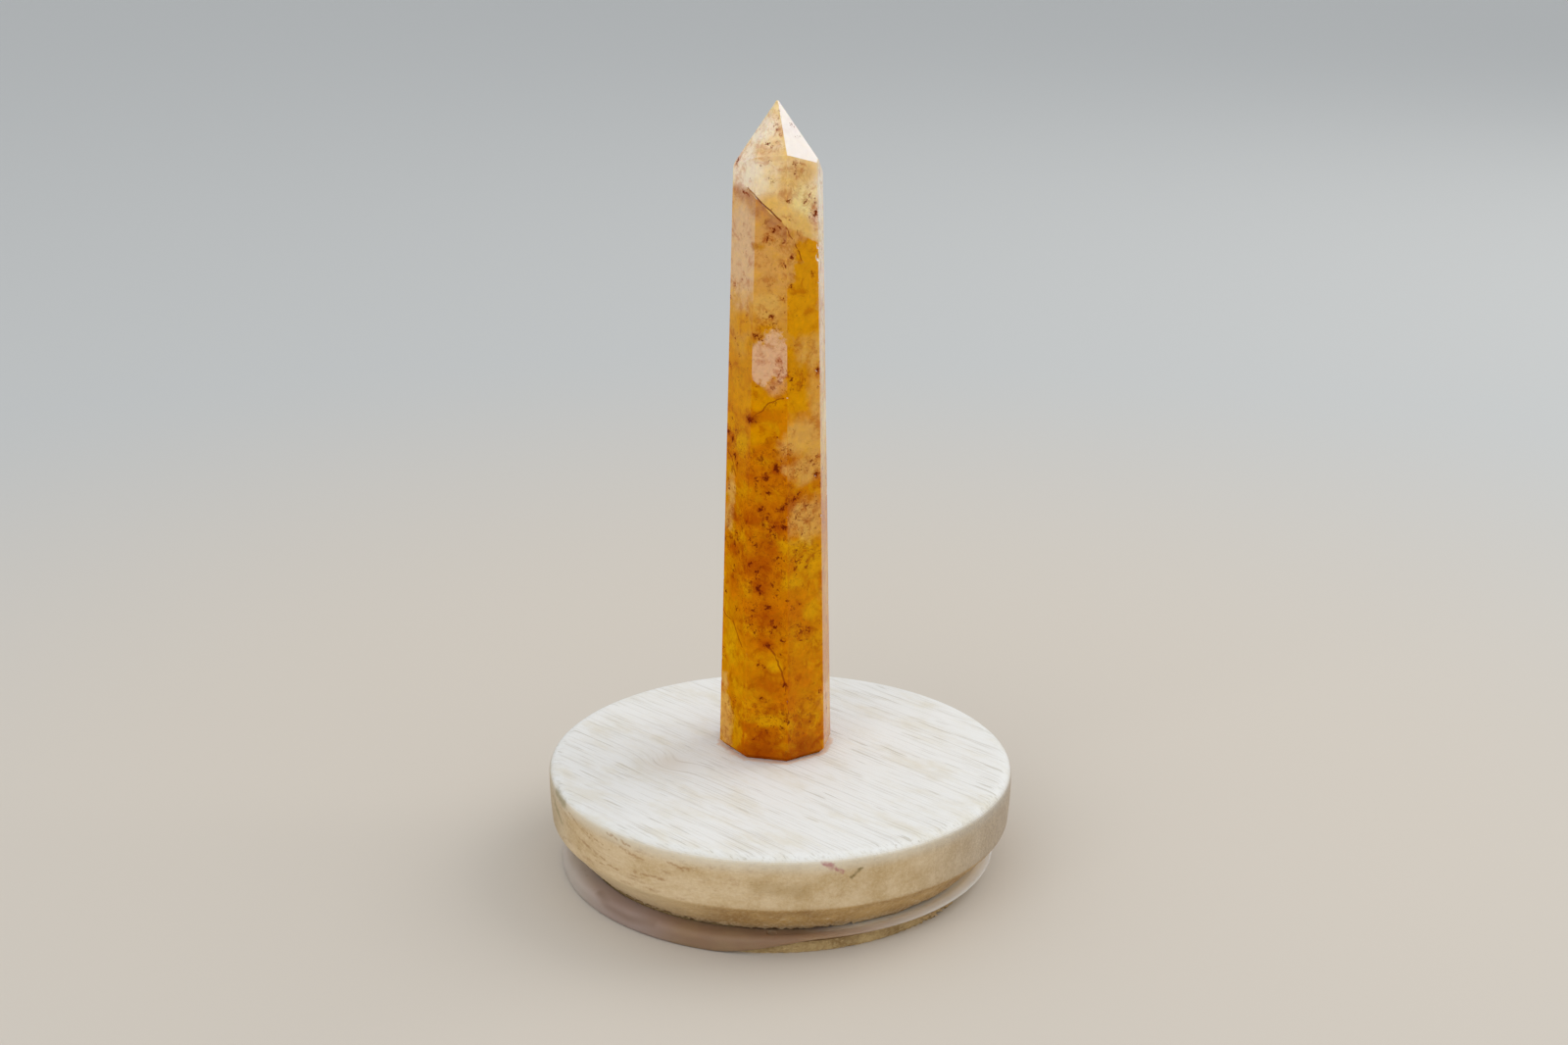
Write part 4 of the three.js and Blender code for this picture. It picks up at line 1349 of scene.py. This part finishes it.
def makeSeal():
    standing = smoothSection(seal["standing"], seal["smoothSteps"])
    hanging = smoothSection(seal["hanging"], seal["smoothSteps"])
    bm = bmesh.new()
    rings = []
    for i in range(seal["segments"]):
        bearing = 360 * i / seal["segments"]
        bearing = bearing - 360 if bearing > 180 else bearing
        fold = foldShare(bearing)
        ring = []
        for (outA, upA), (outB, upB) in zip(standing, hanging):
            out, up = outA + (outB - outA) * fold, upA + (upB - upA) * fold
            reach = seal["root"] + (seal["radius"] - seal["root"]) * out
            centre = plug["centre"].lerp(seal["centre"], min(max(out, 0.0), 1.0))
            spot = centre + towards(bearing) * reach
            fromPlug = spot - plug["centre"]
            if up < plug["flange"] - 0.01 and fromPlug.length < plug["radius"] + seal["clear"]:
                spot = plug["centre"] + fromPlug.normalized() * (plug["radius"] + seal["clear"])
            ring.append(bm.verts.new(spot + Vector((0, 0, max(up, seal["lowest"])))))
        rings.append(ring)
    count = len(rings[0])
    for ring, following in zip(rings, rings[1:] + rings[:1]):
        for i in range(count):
            j = (i + 1) % count
            bm.faces.new((ring[i], following[i], following[j], ring[j]))
    piece = storeMesh("softSeal", bm)
    nick = seal["nick"]
    place = towards(nick["bearing"]) * nick["reach"] + Vector((0, 0, nick["height"]))
    cutter = bmesh.new()
    addLump(cutter, place, nick["radii"], nick["ripple"], nick["seed"])
    carve(piece, storeMesh("cutter", cutter))
    shadeByAngle(piece, seal["smoothUpTo"])
    return piece


# Sides say where a colour starts and where it is full, in millimetres to the right of the axis
rubber = {
    "streak": {"size": 7.0, "detail": 3.0, "roughness": 0.6},
    "streakStretch": (1, 1, 2.5), "streakEdge": (0.35, 0.7),
    # The pale side is painted light: the right side faces the window
    "sides": [("pale", 4.0, 32.0), ("mauve", -14.0, -24.0), ("dusty", -26.0, -37.0)],
    "litInside": (37.2, 35.2), "litSide": (2.0, 16.0),
    "creaseWidth": 1.1, "paintedCreaseShade": 0.45,
    "dirtNoise": {"size": 1.6, "detail": 4.0, "roughness": 0.7},
    "dirtEdge": (0.58, 0.8), "dirt": 0.25,
    "roughness": (0.45, 0.62), "bumpSize": 3.0, "bump": 0.25, "bumpDistance": 0.0001,
    "shader": {"Subsurface Weight": 0.6, "Subsurface Radius": (1.0, 0.85, 0.7),
               "Subsurface Scale": 0.003, "Specular IOR Level": 0.22},
}


def softRubber():
    material, tree, shader = newMaterial("milkyRubber")
    colours = {name: tone(text) for name, text in seal["colours"].items()}
    spot = insideView(tree)
    streak = vectors(tree, "MULTIPLY", spot, rubber["streakStretch"])
    streak = noiseOf(tree, streak, **rubber["streak"])
    brown = rise(tree, streak, *rubber["streakEdge"])
    base = colourMix(tree, brown, colours["front"], colours["brown"])
    side = newNode(tree, "SeparateXYZ", {0: spot}).outputs["X"]
    # The pale right side is painted light
    for name, start, full in rubber["sides"]:
        base = colourMix(tree, rise(tree, side, start, full), base, colours[name])
    # Painted light: brighter near the root on the right, where light passes through the silicone
    outward = vectors(tree, "LENGTH", vectors(tree, "MULTIPLY", spot, (1, 1, 0)), output="Value")
    lit = rise(tree, outward, *rubber["litInside"])
    lit = maths(tree, "MULTIPLY", lit, rise(tree, side, *rubber["litSide"]))
    base = colourMix(tree, lit, base, colours["lit"])
    # A painted shade line in the fold, in the dirt colour
    points = [Vector(place) for place in seal["paintedCreaseShade"]]
    paintedCreaseShade = nearestLine(tree, 1.0, spot, points, rubber["creaseWidth"])
    paintedCreaseShade = opposite(tree, rise(tree, paintedCreaseShade, 0.0, 1.0))
    base = tinted(tree, paintedCreaseShade, rubber["paintedCreaseShade"], base, colours["dirt"])
    dirt = rise(tree, noiseOf(tree, spot, **rubber["dirtNoise"]), *rubber["dirtEdge"])
    base = tinted(tree, dirt, rubber["dirt"], base, colours["dirt"])
    give(tree, base, shader.inputs["Base Color"])
    rough = spreadNoise(tree, streak, (0, 1), rubber["roughness"])
    give(tree, rough, shader.inputs["Roughness"])
    giveBump(tree, shader, noiseOf(tree, spot, rubber["bumpSize"]), rubber)
    setShader(shader, rubber["shader"])
    return material


sealPiece = makeSeal()
dress(sealPiece, softRubber(), "silicone", "seal_ring")
print("seal made")


# A plain pale floor that turns from warm near the object to cool grey far away
stage = {
    "near": "#cfc6b9", "far": "#c1c2c0", "turns": (0.1, 0.4),
    "reach": 8.0, "below": 0.00002, "shader": {"Roughness": 0.8, "Specular IOR Level": 0.2},
}


def makeStage():
    bm = bmesh.new()
    bmesh.ops.create_grid(bm, x_segments=1, y_segments=1, size=stage["reach"] / metresPerMm)
    floor = storeMesh("paleFloor", bm)
    floor.location.z = -stage["below"]
    material, tree, shader = newMaterial("palePaper")
    spot = newNode(tree, "NewGeometry", {}).outputs["Position"]
    away = vectors(tree, "LENGTH", spot, output="Value")
    share = rise(tree, away, *stage["turns"])
    base = colourMix(tree, share, tone(stage["near"]), tone(stage["far"]))
    give(tree, base, shader.inputs["Base Color"])
    setShader(shader, stage["shader"])
    floor.data.materials.append(material)


# Each light: where it stands, its size, power and tint, and whether it only gleams
lights = {
    "windowSoft": {"from": (0.75, 0.35, 0.75), "size": (0.9, 0.7), "power": 4.0,
                   "tint": (1, 0.98, 0.95)},
    "frontFill": {"from": (-0.5, -0.9, 0.6), "size": (0.9, 0.8), "power": 3.2,
                  "tint": (0.97, 0.98, 1)},
    "windowGleam": {"from": (0.72, 0.19, 0.62), "size": (0.34, 0.34), "power": 0.45,
                    "tint": (1, 1, 1), "gleamOnly": True},
}
room = {"colour": "#cdd0d4", "strength": 1.2, "lightsAimAt": (0, 0, 0.06)}


def makeLights():
    aim = Vector(room["lightsAimAt"])
    for name, light in lights.items():
        data = bpy.data.lights.new(name, "AREA")
        data.shape = "RECTANGLE"
        data.size, data.size_y = light["size"]
        data.energy = light["power"]
        data.color = light["tint"]
        lamp = bpy.data.objects.new(name, data)
        lamp.location = light["from"]
        lamp.rotation_euler = (aim - lamp.location).to_track_quat("-Z", "Y").to_euler()
        lamp.visible_diffuse = not light.get("gleamOnly", False)
        bpy.context.scene.collection.objects.link(lamp)
    world = bpy.data.worlds.new("softRoom")
    world.use_nodes = True
    background = world.node_tree.nodes["Background"]
    background.inputs["Color"].default_value = tone(room["colour"])
    background.inputs["Strength"].default_value = room["strength"]
    bpy.context.scene.world = world


# The camera looks a little down on the object, from in front
camera = {
    "place": (0.304, -348.895, 171.254), "down": 17.53, "roll": 0.43, "lens": 50.0, "sensor": 36.0}


def makeCamera():
    data = bpy.data.cameras.new("frontCamera")
    data.lens = camera["lens"]
    data.sensor_width = camera["sensor"]
    lens = bpy.data.objects.new("frontCamera", data)
    down, roll = math.radians(camera["down"]), math.radians(camera["roll"])
    ahead = Vector((0, math.cos(down), -math.sin(down)))
    level = Vector((1, 0, 0))
    upright = level.cross(ahead)
    right = level * math.cos(roll) + upright * math.sin(roll)
    up = upright * math.cos(roll) - level * math.sin(roll)
    turn = Matrix((right, up, -ahead)).transposed().to_4x4()
    place = Vector(camera["place"]) * metresPerMm
    lens.matrix_world = Matrix.Translation(place) @ turn
    bpy.context.scene.collection.objects.link(lens)
    bpy.context.scene.camera = lens


makeStage()
makeLights()
makeCamera()
bpy.context.scene.view_settings.view_transform = "Standard"
print("stage, lights and camera made")
